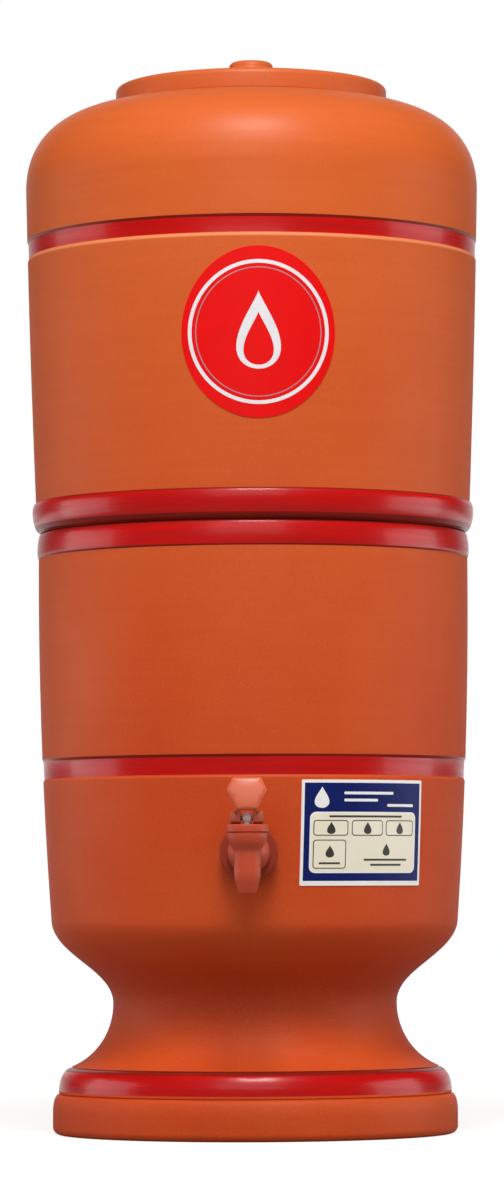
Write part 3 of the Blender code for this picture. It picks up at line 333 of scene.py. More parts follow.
def add(tree, kind, inputs=None, **settings):
    """Adds a shader node. An input that is a socket is linked, and any other is set."""
    node = tree.nodes.new("ShaderNode" + kind)
    for key, value in settings.items():
        setattr(node, key, value)
    for key, value in (inputs or {}).items():
        if isinstance(value, bpy.types.NodeSocket):
            tree.links.new(value, node.inputs[key])
        else:
            node.inputs[key].default_value = value
    return node


def mixed(tree, share, first, second):
    """A colour that goes from the first to the second with the share."""
    inputs = {0: share}
    for index, value in ((6, first), (7, second)):
        inputs[index] = value if isinstance(value, bpy.types.NodeSocket) else (*value, 1)
    return add(tree, "Mix", inputs, data_type="RGBA").outputs[2]


def blended(tree, share, first, second):
    """A number that goes from the first to the second with the share."""
    return add(tree, "Mix", {0: share, 2: first, 3: second}, data_type="FLOAT").outputs[0]


def spread(tree, value, low, high, to_low=0.0, to_high=1.0):
    """Maps a value from one range to another, clamped."""
    inputs = {"Value": value, "From Min": low, "From Max": high}
    inputs.update({"To Min": to_low, "To Max": to_high})
    return add(tree, "MapRange", inputs).outputs["Result"]


def calculated(tree, operation, *values):
    """The result of a sum on values or sockets."""
    return add(tree, "Math", dict(enumerate(values)), operation=operation).outputs[0]


def axis_of(tree, place, axis):
    return add(tree, "SeparateXYZ", {0: place}).outputs[axis]


def distance_from(tree, height, level):
    return calculated(tree, "ABSOLUTE", calculated(tree, "SUBTRACT", height, level))


def tinted(tree, colour, share, most, tone):
    """The colour with a tone laid over it where the share is high, up to the most that is given."""
    return mixed(tree, spread(tree, share, 0, 1, 0, most), colour, srgb(*tone))


def grain(tree, place, scale, detail=3.0, stretch=None):
    """Noise in world metres, drawn out along an axis where a stretch is given."""
    if stretch:
        place = add(tree, "VectorMath", {0: place, 1: stretch}, operation="MULTIPLY").outputs[0]
    return add(tree, "TexNoise", {"Vector": place, "Scale": scale, "Detail": detail}).outputs["Fac"]


def new_material(name, **shader_values):
    """A material with the constant values set on its shader; returns it, its tree, shader and place."""
    material = bpy.data.materials.new(name)
    material.use_nodes = True
    tree = material.node_tree
    shader = tree.nodes["Principled BSDF"]
    for key, value in shader_values.items():
        shader.inputs[key.replace("_", " ")].default_value = value
    place = add(tree, "TexCoord").outputs["Object"]
    return material, tree, shader, place


def bumped(tree, shader, height, strength, distance, normal=None):
    """Adds a bump over an earlier one, if there is one, and gives it to the shader."""
    inputs = {"Height": height, "Strength": strength, "Distance": distance}
    if normal:
        inputs["Normal"] = normal
    bump = add(tree, "Bump", inputs)
    tree.links.new(bump.outputs[0], shader.inputs["Normal"])
    return bump.outputs[0]


def srgb(red, green, blue):
    """Linear colour of a display colour given in 0 to 255."""
    values = [value / 255 for value in (red, green, blue)]
    return tuple(
        value / 12.92 if value <= 0.04045 else ((value + 0.055) / 1.055) ** 2.4 for value in values
    )


def clay_material():
    """Turned terracotta: paler up high and deeper low down, partly as water-soaked clay and partly as painted
    shade where less light reaches the lower wall; a duller tone at the top, painted shade round the waist
    under the bowl, a painted highlight on the lip below the top band, and fine turning lines.
    """
    material, tree, shader, place = new_material("turned_clay", Specular_IOR_Level=0.24)
    height = axis_of(tree, place, "Z")
    low, high, lid_base, lid_edge = 0.16, 0.52, 0.505, 0.552
    wander = spread(tree, grain(tree, place, 7.0), 0.2, 0.8, -0.03, 0.03)
    level = spread(tree, calculated(tree, "ADD", height, wander), low, high)
    # deeper low down: partly water-soaked clay, partly painted shade of the light falling off towards the
    # foot
    colour = mixed(tree, level, srgb(206, 68, 16), srgb(214, 95, 34))
    blotch = spread(tree, grain(tree, place, 16.0, 4.0), 0.30, 0.72)
    colour = tinted(tree, colour, blotch, 0.30, (222, 106, 44))
    # a duller, browner tone over the shoulder's top and the lid
    duller_top = spread(tree, height, lid_base, lid_edge, 0, 0.55)
    colour = mixed(tree, duller_top, colour, srgb(196, 98, 56))
    # painted shade: the waist darkened all round, where the bowl above shades it
    painted_waist_shade = spread(tree, distance_from(tree, height, 0.074), 0.004, 0.020, 0.50, 0)
    colour = mixed(tree, painted_waist_shade, colour, srgb(158, 44, 14))
    # painted highlight: a pale line on the lip just below the top band
    painted_lip_highlight = spread(tree, distance_from(tree, height, 0.4622), 0.0005, 0.0013, 0.60, 0)
    colour = mixed(tree, painted_lip_highlight, colour, srgb(244, 158, 108))
    streak = spread(tree, grain(tree, place, 11.0, 3.0, (1, 1, 26)), 0.35, 0.70)
    colour = tinted(tree, colour, streak, 0.10, (178, 60, 22))
    speck = spread(tree, grain(tree, place, 1500.0, 2.0), 0.58, 0.74)
    colour = tinted(tree, colour, speck, 0.30, (228, 130, 78))
    pit = add(tree, "TexVoronoi", {"Vector": place, "Scale": 420.0}).outputs["Distance"]
    pitted = spread(tree, pit, 0.07, 0.15, 1.0, 0.0)
    colour = tinted(tree, colour, pitted, 0.30, (120, 42, 18))
    tree.links.new(colour, shader.inputs["Base Color"])
    burnished = spread(tree, height, 0.47, 0.52, 0.58, 0.38)
    rough = calculated(tree, "ADD", burnished, spread(tree, blotch, 0, 1, 0.04, -0.04))
    tree.links.new(rough, shader.inputs["Roughness"])
    turning_lines = grain(tree, place, 420.0, 2.0, (0.02, 0.02, 1))
    first = bumped(tree, shader, turning_lines, 0.22, 0.00012)
    second = bumped(tree, shader, grain(tree, place, 1900.0, 3.0), 0.30, 0.00010, first)
    bumped(tree, shader, pit, 0.12, 0.00010, second)
    return material


def paint_material(name, light, dark, coat, specular):
    """Glossy paint, brushed on while the pot turns."""
    material, tree, shader, place = new_material(
        name, Coat_Weight=coat, Coat_Roughness=0.12, Specular_IOR_Level=specular
    )
    streak = spread(tree, grain(tree, place, 14.0, 3.0, (1, 1, 40)), 0.32, 0.70)
    colour = mixed(tree, streak, srgb(*dark), srgb(*light))
    cloud = spread(tree, grain(tree, place, 22.0, 3.0), 0.45, 0.75, 0, 0.35)
    colour = mixed(tree, cloud, colour, [value * 0.8 for value in srgb(*dark)])
    tree.links.new(colour, shader.inputs["Base Color"])
    tree.links.new(spread(tree, streak, 0, 1, 0.34, 0.24), shader.inputs["Roughness"])
    ridges = grain(tree, place, 300.0, 2.0, (0.03, 0.03, 1))
    first = bumped(tree, shader, ridges, 0.16, 0.00015)
    bumped(tree, shader, grain(tree, place, 60.0, 2.0), 0.12, 0.0006, first)
    return material


def plain_material(name, light, dark, rough, scale=60.0, bump=0.10, fine=900.0, shade_range=None, **values):
    """A moulded or rubbed surface: two close colours in a cloudy mix, uneven gloss and a fine grain.

    Where a shade range is given, painted shade darkens the colour and dulls the gloss from the lit end to the
    shaded end of an axis.
    """
    material, tree, shader, place = new_material(name, **values)
    cloud = spread(tree, grain(tree, place, scale, 3.0), 0.30, 0.72)
    colour = mixed(tree, cloud, srgb(*light), srgb(*dark))
    gloss = spread(tree, cloud, 0, 1, rough[0], rough[1])
    if shade_range:
        axis, lit_end, shaded_end, tone = shade_range
        along = axis_of(tree, place, axis)
        # painted shade: the most of the shade tone that is laid on, and the roughness added with it
        shade_share, dullness = 0.65, 0.35
        colour = mixed(tree, spread(tree, along, lit_end, shaded_end, 0, shade_share), colour, srgb(*tone))
        gloss = calculated(tree, "ADD", gloss, spread(tree, along, lit_end, shaded_end, 0, dullness))
    tree.links.new(colour, shader.inputs["Base Color"])
    tree.links.new(gloss, shader.inputs["Roughness"])
    bumped(tree, shader, grain(tree, place, fine, 3.0), bump, 0.00012)
    return material


def printed(colour_name, light, dark, **values):
    return plain_material("sticker_" + colour_name, light, dark, (0.42, 0.50), 90.0, 0.05, **values)


# painted shade on the tap near the wall, where its body shades the flange
FLANGE_PAINTED_SHADE = ("Y", -0.105, -0.0985, (120, 34, 18))
# painted shade on the lever's cheeks under the paddle
HINGE_PAINTED_SHADE = ("Z", 0.169, 0.167, (120, 34, 20))

CLAY = clay_material()
PAINT = paint_material("red_gloss_paint", (208, 7, 3), (186, 4, 2), 0.19, 0.3)
# painted shade: darker paint along the band edges and the rings' seam, where the lips above shade them
SHADED_PAINT_EDGE = paint_material("paint_edge_painted_shade", (150, 34, 22), (132, 26, 16), 0.0, 0.15)
# painted light: lit and shaded copies of one plastic, the lever paler where the paddle faces the light, the
# body deeper
TAP_PLASTIC = plain_material(
    "tap_plastic", (202, 80, 50), (194, 72, 44), (0.40, 0.50), 45.0, fine=700.0, shade_range=FLANGE_PAINTED_SHADE,
    Specular_IOR_Level=0.3,
)
LIT_LEVER_PLASTIC = plain_material(
    "lever_plastic_painted_paler", (222, 106, 70), (214, 98, 62), (0.26, 0.34), 45.0, fine=700.0, shade_range=HINGE_PAINTED_SHADE
)
WHITE_PLASTIC = plain_material("white_plastic", (232, 230, 224), (222, 219, 212), (0.36, 0.46), 50.0, 0.08)
STEM_PLASTIC = plain_material("stem_plastic", (238, 230, 226), (228, 218, 212), (0.34, 0.44), 80.0, 0.08)
CERAMIC = plain_material(
    "candle_ceramic", (238, 234, 222), (222, 214, 196), (0.82, 0.92), 70.0, 0.35, 1300.0
)
CARBON = plain_material("candle_carbon", (44, 44, 46), (26, 26, 28), (0.80, 0.92), 240.0, 0.60, 1500.0)
RUBBER = plain_material("black_rubber", (50, 49, 48), (38, 37, 37), (0.62, 0.74), 90.0, 0.20)
SILICONE = plain_material("silicone", (226, 224, 218), (214, 211, 204), (0.44, 0.54), 80.0, 0.08)
STICKER_RED = printed("red", (238, 5, 4), (231, 4, 3), Specular_IOR_Level=0.15)
STICKER_PALE = printed("pale", (240, 235, 238), (231, 225, 229))
STICKER_GREY = printed("grey", (176, 132, 138), (166, 120, 128))
STICKER_BLUE = printed("blue", (8, 28, 104), (6, 24, 96), Specular_IOR_Level=0.2)
STICKER_WHITE = printed("white", (252, 250, 248), (247, 245, 242))
STICKER_CREAM = printed("cream", (250, 242, 220), (245, 236, 211))
STICKER_LINE = printed("line", (66, 62, 60), (54, 50, 49))
STEEL = plain_material(
    "drawn_steel", (202, 202, 204), (178, 178, 182), (0.20, 0.32), 200.0, 0.12, 2600.0, Metallic=1.0
)


# Vessels


def paint_bands(obj, bands, edges):
    """Paints the faces of bands, and darker faces at their edges and seam as painted shade: (lowest, highest,
    least radius).
    """
    for polygon in obj.data.polygons:
        x, y, z = [value / MM for value in polygon.center]
        radius = math.hypot(x, y - AXIS_Y)
        for number, zones in ((1, bands), (2, edges)):
            if any(low < z < high and radius > reach for low, high, reach in zones):
                polygon.material_index = number


def cove(waist, foot, top, bottom, steps):
    """The sweep of the pedestal from its waist out to its foot."""
    height = top - bottom
    reach = waist + (foot - waist) * 0.5
    first = (waist, top - height * 0.52)
    second = (reach, bottom + height * 0.13)
    return curve((waist, top), first, second, (foot, bottom), steps)


def bowl_inside():
    floor, corner = 105, 19
    inner = lower_wall(floor + corner) - LOWER_THICKNESS
    rim_inside, rim_edge, bend = 104.5, (112.6, 0.6), 0.8
    outline = [(0, floor)] + arc((inner - corner, floor + corner), (corner, corner), -90, 0, 10)
    outline += wall(lower_wall, floor + corner, 315.6, 8, LOWER_THICKNESS)[1:]
    rim = [(rim_inside, 315.6), (rim_inside, LOWER_RIM_Z, bend), (rim_edge[0], LOWER_RIM_Z, rim_edge[1])]
    outline += eased(rim + [(113.1, 316.2)], 3)[1:-1]
    return outline


def foot_outline():
    """Bowl, waist, cove, painted roll and plinth, and back up inside the hollow."""
    roll_radius, plinth_radius, plinth_z, edge = 96.7, 103.9, 12, 4
    hollow_foot, hollow_waist, hollow_corner, hollow_top = 94.7, 64.5, 12, 95
    bowl = (LOWER_BASE_RADIUS, LOWER_BASE_Z)
    waist = (WAIST_RADIUS, WAIST_Z)
    outline = curve(bowl, (LOWER_BASE_RADIUS, 94.52), (WAIST_RADIUS, 86.6), waist, 26)[1:]
    outline += cove(WAIST_RADIUS, roll_radius, WAIST_Z, 35.6, 18)[1:]
    outline += arc((roll_radius, 23), (7, 12), 90, 0, 12)
    outline += [(103.8, 22.0), (103.2, 21.4)]
    outline += arc((plinth_radius, plinth_z), (3, 9), 90, 0, 10)
    outline += arc((plinth_radius - 1, edge), (edge, edge), 0, -90, 8)
    outline += [(hollow_foot + 0.5, 0), (hollow_foot, 0.4)]
    outline += cove(hollow_waist, hollow_foot, WAIST_Z, 21, 14)[::-1]
    centre = (hollow_waist - hollow_corner, hollow_top - hollow_corner)
    outline += arc(centre, (hollow_corner, hollow_corner), 0, 90, 8) + [(0, hollow_top)]
    return outline


def lower_vessel():
    ring_top = (113.1, 316.2)
    outline = bowl_inside()
    outline += bead((lower_wall(LOWER_RING_Z), LOWER_RING_Z), ring_top, 1.0, 18)[::-1]
    outline += wall(lower_wall, LOWER_BAND[1] + 2, LOWER_RING_Z - 1.2)[::-1]
    outline += groove(lower_wall, LOWER_BAND, 0.8)
    outline += wall(lower_wall, LOWER_BASE_Z, LOWER_BAND[0] - 2)[::-1]
    outline += foot_outline()
    vessel = linked("lower_vessel_clay", turned(outline, VESSEL_SEGMENTS, worn=TURNING_WEAR))
    combine(vessel, on_shank(rod(8.8, -15, 6), SMALL_SEGMENTS), "DIFFERENCE")
    finish(vessel, [CLAY, PAINT, SHADED_PAINT_EDGE], "pot", "lower_vessel")
    bands = [(304.4, 315.9, 106), (186.9, 195.7, 106), (22.6, 33.6, 92)]
    # the second list: darker paint as painted shade along band tops, the seam and the lower ring's underside
    edges = [(303.4, 304.4, 106), (315.9, 317, 106), (195.7, 197.1, 106), (33.6, 35.4, 92)]
    paint_bands(vessel, bands, edges)


def shoulder(side, mouth, height, steps):
    first = (side, SHOULDER_Z + height * 0.54)
    second = (side - (side - mouth) * 0.328, SHOULDER_Z + height * 0.916)
    return curve((side, SHOULDER_Z), first, second, (mouth, SHOULDER_Z + height), steps)


def upper_vessel():
    stem_hole, corner, spigot_radius, spigot_edge = 6.8, 12, 103.5, 4
    inner_side = UPPER_TOP_RADIUS - UPPER_THICKNESS
    outline = [(stem_hole, UPPER_UNDERSIDE_Z), (stem_hole, UPPER_FLOOR_Z)]
    outline += arc((82.5, UPPER_FLOOR_Z + corner), (corner, corner), -90, 0, 8)
    outline += wall(upper_wall, UPPER_RING_Z, SHOULDER_Z, 8, UPPER_THICKNESS)
    outline += shoulder(inner_side, MOUTH_RADIUS, 35.4, 14)[1:]
    outline += eased([(MOUTH_RADIUS, 541), (MOUTH_RADIUS, MOUTH_Z, 1.0), (68, MOUTH_Z)], 4)
    outline += shoulder(UPPER_TOP_RADIUS, SHOULDER_LAND_RADIUS, SHOULDER_HEIGHT, 30)[::-1]
    outline += wall(upper_wall, UPPER_BAND[1] + 2, SHOULDER_Z)[::-1][1:]
    outline += groove(upper_wall, UPPER_BAND, 1.35)[1:]
    outline += wall(upper_wall, UPPER_RING_Z + 1.3, UPPER_BAND[0] - 2)[::-1][1:]
    outline += bead((113.4, 317.7), (upper_wall(UPPER_RING_Z), UPPER_RING_Z), 2.6, 18)[::-1]
    outline += [(112.8, UPPER_SEAT_Z), (spigot_radius, UPPER_SEAT_Z)]
    centre = (spigot_radius - spigot_edge, UPPER_UNDERSIDE_Z + spigot_edge)
    outline += arc(centre, (spigot_edge, spigot_edge), 0, -90, 6)
    vessel = linked("upper_vessel_clay", turned(outline, VESSEL_SEGMENTS, worn=TURNING_WEAR))
    finish(vessel, [CLAY, PAINT, SHADED_PAINT_EDGE], "upper", "upper_vessel")
    bands = [(320.0, 331.9, 106), (463.1, 471.1, 106)]
    # the third list: darker paint as painted shade along the band tops and the seam under the upper ring
    paint_bands(vessel, bands, [(317.3, 320.0, 106), (331.9, 333.1, 106), (471.1, 472.6, 106)])


def lid():
    knob_top, knob_edge, knob_radius, plate_z = 569.3, 3, 11.8, 560.0
    rim_radius, lip_radius, lip_inside, lip_z = 72.2, 60.5, 54.5, 535
    outline = [(0, knob_top)]
    outline += arc((knob_radius - knob_edge, knob_top - knob_edge), (knob_edge, knob_edge), 90, 0, 8)
    outline += curve((knob_radius, 566.3), (knob_radius, 563.46), (17.6, plate_z), (35, plate_z), 16)[1:]
    outline += [(46, 558.55), (58, 556.98)] + arc((69.2, 552.5), (3, 3), 84, 0, 10)
    rim = [(rim_radius, 549), (rim_radius, LID_SEAT_Z, 0.7), (lip_radius, LID_SEAT_Z, 0.6)]
    outline += eased(rim + [(lip_radius, lip_z, 1.4), (lip_inside, lip_z, 1.4)], 4)
    outline += eased([(lip_inside, 537), (lip_inside, 553, 3.0), (0, 553)], 6)
    cover = linked("lid_clay", turned(outline, VESSEL_SEGMENTS, worn=TURNING_WEAR))
    finish(cover, CLAY, "lid", "lid")


lower_vessel()
upper_vessel()
lid()


# Tap


def thread(start, ridges, root, crest, pitch=1.8):
    """Outline of a row of thread ridges."""
    outline = []
    for ridge in range(ridges):
        base = start + ridge * pitch
        outline += [(root, base), (crest, base + 0.6), (crest, base + 0.9), (root, base + 1.5)]
    return outline


def disc(radius, steps=SMALL_SEGMENTS):
    return arc((0, 0), (radius, radius), 0, 360, steps)[:-1]


def taken(obj):
    """The mesh of a piece that is about to be joined to another, as a bmesh."""
    bm = bmesh.new()
    bm.from_mesh(obj.data)
    bpy.data.meshes.remove(obj.data)
    return bm


def shank_outline():
    """Threaded tail, flange and boss, then the shank that runs out to the valve."""
    tail_end, tail_radius = -24.8, 8
    flange_back, flange_front, flange_radius = 3.3, 6.8, 14.8
    boss_radius, shank_radius = 10.8, 6
    outline = [(0, tail_end), (7.4, tail_end)] + thread(-24.4, 6, 7.35, tail_radius)
    flange = [(tail_radius, -13.4), (tail_radius, flange_back, 0.3), (flange_radius, flange_back, 0.5)]
    flange += [(flange_radius, flange_front, 1.0), (boss_radius, flange_front, 0.5)]
    boss = [(boss_radius, 8), (boss_radius, 9.8, 1.2), (shank_radius, 15.8, 2.5)]
    outline += eased(flange, 4)
    outline += eased(boss + [(shank_radius, SPOUT_REACH)], 6) + [(0, SPOUT_REACH)]
    return outline


def spout_outline():
    """Tapered spout, funnel and neck, up from the outlet."""
    outlet_z, spout_radius, funnel_z, neck_radius, top = -20.8, 6.8, 9.6, 8.8, 11.4
    spout = [(3.6, outlet_z), (4.3, outlet_z, 0.35), (spout_radius, -12.8, 2.6), (spout_radius, -1)]
    outline = [(0, outlet_z)] + eased(spout, 6)
    outline += curve((spout_radius, -1), (spout_radius, 2.6), (9.9, 2.6), (10.2, funnel_z), 14)[1:-1]
    neck = [(10.1, 8.6), (10.2, funnel_z, 0.35), (neck_radius, funnel_z, 0.2)]
    outline += eased(neck + [(neck_radius, top, 0.3), (0, top)], 4)
    return outline


def tap_body():
    body = linked("tap_shank_and_spout", on_shank(shank_outline()))
    combine(body, turned(spout_outline(), PIECE_SEGMENTS, VALVE), "UNION")
    soften(body, 0.5, 3, 30)
    throat, chamber, mouth, seat_z, above = 3.1, 4.9, 7.4, -8.0, 14
    hollow = [(0, -26), (throat, -26), (throat, seat_z), (chamber, seat_z), (chamber, 3)]
    hollow += [(mouth, 7), (mouth, above), (0, above)]
    combine(body, turned(hollow, SMALL_SEGMENTS, VALVE), "DIFFERENCE")
    combine(body, on_shank(rod(3.2, -30, 33), SMALL_SEGMENTS), "DIFFERENCE")
    finish(body, TAP_PLASTIC, "pot", "tap_body", 42)


def tap_bonnet():
    hole, side, top, skirt_z = 3.2, 10.6, 13.7, 9.9
    outline = [(hole, 12.4), (hole, top, 0.3), (side, top, 0.9), (side, skirt_z, 0.4)]
    outline += [(9.1, skirt_z, 0.2), (9.1, 11.7), (hole, 11.7)]
    bonnet = linked("tap_bonnet_cap", turned(eased(outline, 5), PIECE_SEGMENTS, VALVE))
    finish(bonnet, TAP_PLASTIC, "pot", "tap_bonnet", 42)


def tap_washers():
    """Rubber washers whose faces follow the curved wall that they clamp."""
    hole, side, above_and_below = 8.8, 13, 28
    around = wall(lower_wall, TAP_Z - above_and_below, TAP_Z + above_and_below, 4)
    for name, node, back, front, inset, operation in (
        ("outer_rubber_washer", "tap_outer_washer", -4.0, 3.0, -0.3, "DIFFERENCE"),
        ("inner_rubber_washer", "tap_inner_washer", -12.5, -4.0, 9.5, "INTERSECT"),
    ):
        low, high = around[0][1], around[-1][1]
        outline = [(hole, back), (side, back, 0.3), (side, front, 0.5), (hole, front, 0.3)]
        washer = linked(name, on_shank(eased(outline, 3, closed=True)))
        face = [(0, low)] + [(radius - inset, z) for radius, z in around] + [(0, high)]
        combine(washer, turned(face, VESSEL_SEGMENTS), operation)
        finish(washer, RUBBER, "pot", node)


def tap_nut():
    """A hexagon whose corners are cut off by a cone on both faces."""
    back, front, face_radius, corner_radius, chamfer = -20.8, -12.8, 13.2, 15.1, 1.0
    nut = linked("shank_hex_nut", on_shank(rod(15.0, back, front), 6))
    cone = [(0, back), (face_radius, back), (corner_radius, back + chamfer)]
    cone += [(corner_radius, front - chamfer), (face_radius, front), (0, front)]
    combine(nut, on_shank(cone), "INTERSECT")
    combine(nut, on_shank(rod(8.3, -26, -8), SMALL_SEGMENTS), "DIFFERENCE")
    soften(nut, 0.25, 2)
    finish(nut, WHITE_PLASTIC, "pot", "tap_nut")


def tap_spring():
    """A coil with closed ends, made at one fixed length."""
    low, high, coil_radius, wire, turns = 3.0, 11.0, 3.8, 0.4, 5
    closed, closed_pitch, steps = 0.15, 0.5, 120
    bm = bmesh.new()
    rings = []
    for number in range(steps + 1):
        share = number / steps
        rise = min(share, closed) * closed_pitch
        rise += max(0, min(share, 1 - closed) - closed)
        rise += max(0, share - 1 + closed) * closed_pitch
        angle = math.tau * turns * share
        ring = []
        for x, z in disc(wire, 10):
            reach = coil_radius + x
            height = low + (high - low) * rise / (1 - closed) + z
            place = (reach * math.cos(angle), VALVE_Y + reach * math.sin(angle), TAP_Z + height)
            ring.append(bm.verts.new([value * MM for value in place]))
        rings.append(ring)
    for first, second in zip(rings, rings[1:]):
        skinned(bm, first, second)
    bm.faces.new(rings[0])
    bm.faces.new(rings[-1])
    bmesh.ops.recalc_face_normals(bm, faces=bm.faces)
    spring = finish(linked("tap_coil_spring", bm), STEEL, "pot", "tap_spring")
    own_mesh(spring)


def tap_stem():
    foot, rod_radius, collar_radius, collar_z, collar_top, top = -6.2, 2.1, 4.6, 1, 2.3, 16.9
    outline = [(1, foot), (rod_radius, foot, 0.4), (rod_radius, collar_z, 0.2)]
    outline += [(collar_radius, collar_z, 0.3), (collar_radius, collar_top, 0.3)]
    outline = [(0, foot)] + eased(outline, 3)
    outline += eased([(4, collar_top), (rod_radius, collar_top, 0.3), (rod_radius, top)], 3) + [(0, top)]
    stem = linked("valve_stem", turned(outline, SMALL_SEGMENTS, VALVE))
    eye = linked("stem_eye", prism(disc(2.9), 4.4, PIN))
    soften(eye, 0.5, 3)
    combine(stem, taken(eye), "UNION")
    combine(stem, prism(disc(PIN_HOLE_RADIUS, PIN_SEGMENTS), 8, PIN), "DIFFERENCE")
    finish(stem, STEM_PLASTIC, "tap_valve", "tap_stem")


def cam_outline():
    """Side of the lever's cheeks about the pin: a flat heel, then an involute."""
    heel, lift, overrun, steps = 2.9, 4, 39, 24
    back, top = 3.6, 3.4
    outline = [(back, -heel)]
    for step in range(steps + 1):
        turn = math.radians(overrun) * step / steps
        reach = heel + lift * turn
        across = -reach * math.sin(turn) - lift * math.cos(turn)
        outline.append((across, -reach * math.cos(turn) + lift * math.sin(turn)))
    front = outline[-1][0]
    outline += [(front, 0), (front + 1.7, top)] + arc((0, 0), (back, top), 90, 0, 14)
    return outline, front


def crowned(bm, middle, height, reach, crown):
    """Bends the front half of an upright plate into a low dome round the height that is given."""
    for axis, centre in ((0, 0), (2, height)):
        for step in range(-3, 4):
            at, direction = Vector((0, 0, 0)), Vector((0, 0, 0))
            at[axis] = (centre + reach[axis // 2] * step / 4) * MM
            direction[axis] = 1
            bm.normal_update()
            front = [face for face in bm.faces if face.normal.y < -0.999]
            edges = list(dict.fromkeys(edge for face in front for edge in face.edges))
            verts = list(dict.fromkeys(vert for face in front for vert in face.verts))
            bmesh.ops.bisect_plane(bm, geom=verts + edges + front, plane_co=at, plane_no=direction, dist=1e-7)
    for vert in bm.verts:
        if vert.co.y < middle * MM:
            across, up = vert.co.x / MM / reach[0], (vert.co.z / MM - height) / reach[1]
            vert.co.y += crown * MM * (across**2 + up**2)
    return bm


def tap_lever():
    cheek_spread, clevis_width, neck_width, back, cheek_top = 16.4, 6.4, 9.6, -3.6, 3.4
    base, paddle_top, paddle_front, thickness = 4.5, 17, 10, 3.4
    outline, front = cam_outline()
    lever = linked("lever_with_paddle", prism(outline, cheek_spread, PIN))
    soften(lever, 0.4, 3, 50)
    lean, inside, top = math.tan(math.radians(PADDLE_LEAN)), -8.3, 12.15
    neck = [(back, 0), (front, 0), (inside, 5.6), (inside + (top - base) * lean, top), (back, cheek_top)]
    combine(lever, prism(neck, neck_width, PIN), "UNION")
    slot = [(back, 9), (back, base), (-13, base), (-13, -8), (9, -8), (9, 9)]
    combine(lever, prism(slot, clevis_width, PIN), "DIFFERENCE")
    corners = [(-5.05, 0), (-10.1, 10.54), (-7.27, paddle_top)]
    corners += [(-across, up) for across, up in reversed(corners)]
    middle = VALVE_Y - paddle_front + thickness / 2
    face = eased([(*corner, 0.9) for corner in corners], 4, closed=True)
    paddle = linked("paddle", prism(face, thickness, (0, middle, PIN_Z + base), "y"))
    soften(paddle, 1.1, 5, 50)
    dome = crowned(taken(paddle), middle, PIN_Z + base + paddle_top / 2, (10.1, 8.5), 1.0)
    pivot = (0, VALVE_Y - paddle_front, PIN_Z + base)
    combine(lever, tipped(dome, -PADDLE_LEAN, pivot), "UNION")
    combine(lever, prism(disc(PIN_HOLE_RADIUS, PIN_SEGMENTS), 24, PIN), "DIFFERENCE")
    finish(lever, LIT_LEVER_PLASTIC, "tap_lever", "tap_lever", 42)
    pin = linked("steel_pivot_pin", prism(disc(1.2, PIN_SEGMENTS), cheek_spread, PIN))
    soften(pin, 0.25, 2)
    finish(pin, STEEL, "tap_lever", "tap_pivot_pin")


tap_body()
tap_bonnet()
tap_washers()
tap_nut()
tap_spring()
tap_stem()
tap_lever()


# Stickers


def oval(width, height, steps=96):
    return arc((0, 0), (width / 2, height / 2), 0, 360, steps)[:-1]


def box(left, bottom, right, top, corner, steps=5):
    points = []
    for x, y, start in ((right, top, 0), (left, top, 90), (left, bottom, 180), (right, bottom, 270)):
        centre = (x - corner if x == right else x + corner, y - corner if y == top else y + corner)
        points += arc(centre, (corner, corner), start, start + 90, steps)
    return points


def drop(half_width, half_height, centre, steps=48):
    """A water drop with its tip up."""
    points = []
    for step in range(steps):
        turn = math.tau * step / steps
        across = half_width * 1.3 * math.sin(turn) * math.sin(turn / 2) ** 1.5
        points.append((centre[0] + across, centre[1] + half_height * math.cos(turn)))
    return points


def flat_layer(outline):
    """A flat face, cut along and across so that it can bend."""
    bm = bmesh.new()
    bm.faces.new([bm.verts.new((across, up, 0)) for across, up in outline])
    for axis, spacing in ((0, 2.0), (1, 6.0)):
        low = min(point[axis] for point in outline)
        high = max(point[axis] for point in outline)
        count = int((high - low) / spacing)
        for step in range(1, count + 1):
            at, direction = Vector((0, 0, 0)), Vector((0, 0, 0))
            at[axis] = low + (high - low) * step / (count + 1)
            direction[axis] = 1
            geometry = bm.verts[:] + bm.edges[:] + bm.faces[:]
            bmesh.ops.bisect_plane(bm, geom=geometry, plane_co=at, plane_no=direction, dist=1e-4)
    return bm


def sticker(name, layers, materials, radius, degrees, middle, body, label):
    """Thin printed layers, each laid on the last and wrapped round the wall: (outline, material, level)."""
    edge_depth, first_lift, layer_lift = 0.15, 0.30, 0.02
    turn = math.radians(degrees)
    outwards = Vector((math.sin(turn), -math.cos(turn), 0))
    joined = bmesh.new()
    for outline, material, level in layers:
        bm = flat_layer(outline)
        rim = [item for item in bm.edges if len(item.link_faces) == 1]
        sides = bmesh.ops.extrude_edge_only(bm, edges=rim)["geom"]
        buried = {item for item in sides if isinstance(item, bmesh.types.BMVert)}
        lift = first_lift + layer_lift * level
        for vert in bm.verts:
            across, z = vert.co.x, middle + vert.co.y
            reach = radius(z) + (-edge_depth if vert in buried else lift)
            angle = turn + math.asin(across / reach)
            vert.co = (reach * math.sin(angle) * MM, (AXIS_Y - reach * math.cos(angle)) * MM, z * MM)
        bmesh.ops.recalc_face_normals(bm, faces=bm.faces)
        largest = max(bm.faces, key=lambda item: item.calc_area())
        if largest.normal.dot(outwards) < 0:
            bmesh.ops.reverse_faces(bm, faces=bm.faces)
        for item in bm.faces:
            item.material_index = material
        layer = bpy.data.meshes.new("layer")
        bm.to_mesh(layer)
        bm.free()
        joined.from_mesh(layer)
        bpy.data.meshes.remove(layer)
    obj = linked(name, joined)
    indices = [polygon.material_index for polygon in obj.data.polygons]
    finish(obj, materials, body, label, 30)
    obj.data.polygons.foreach_set("material_index", indices)


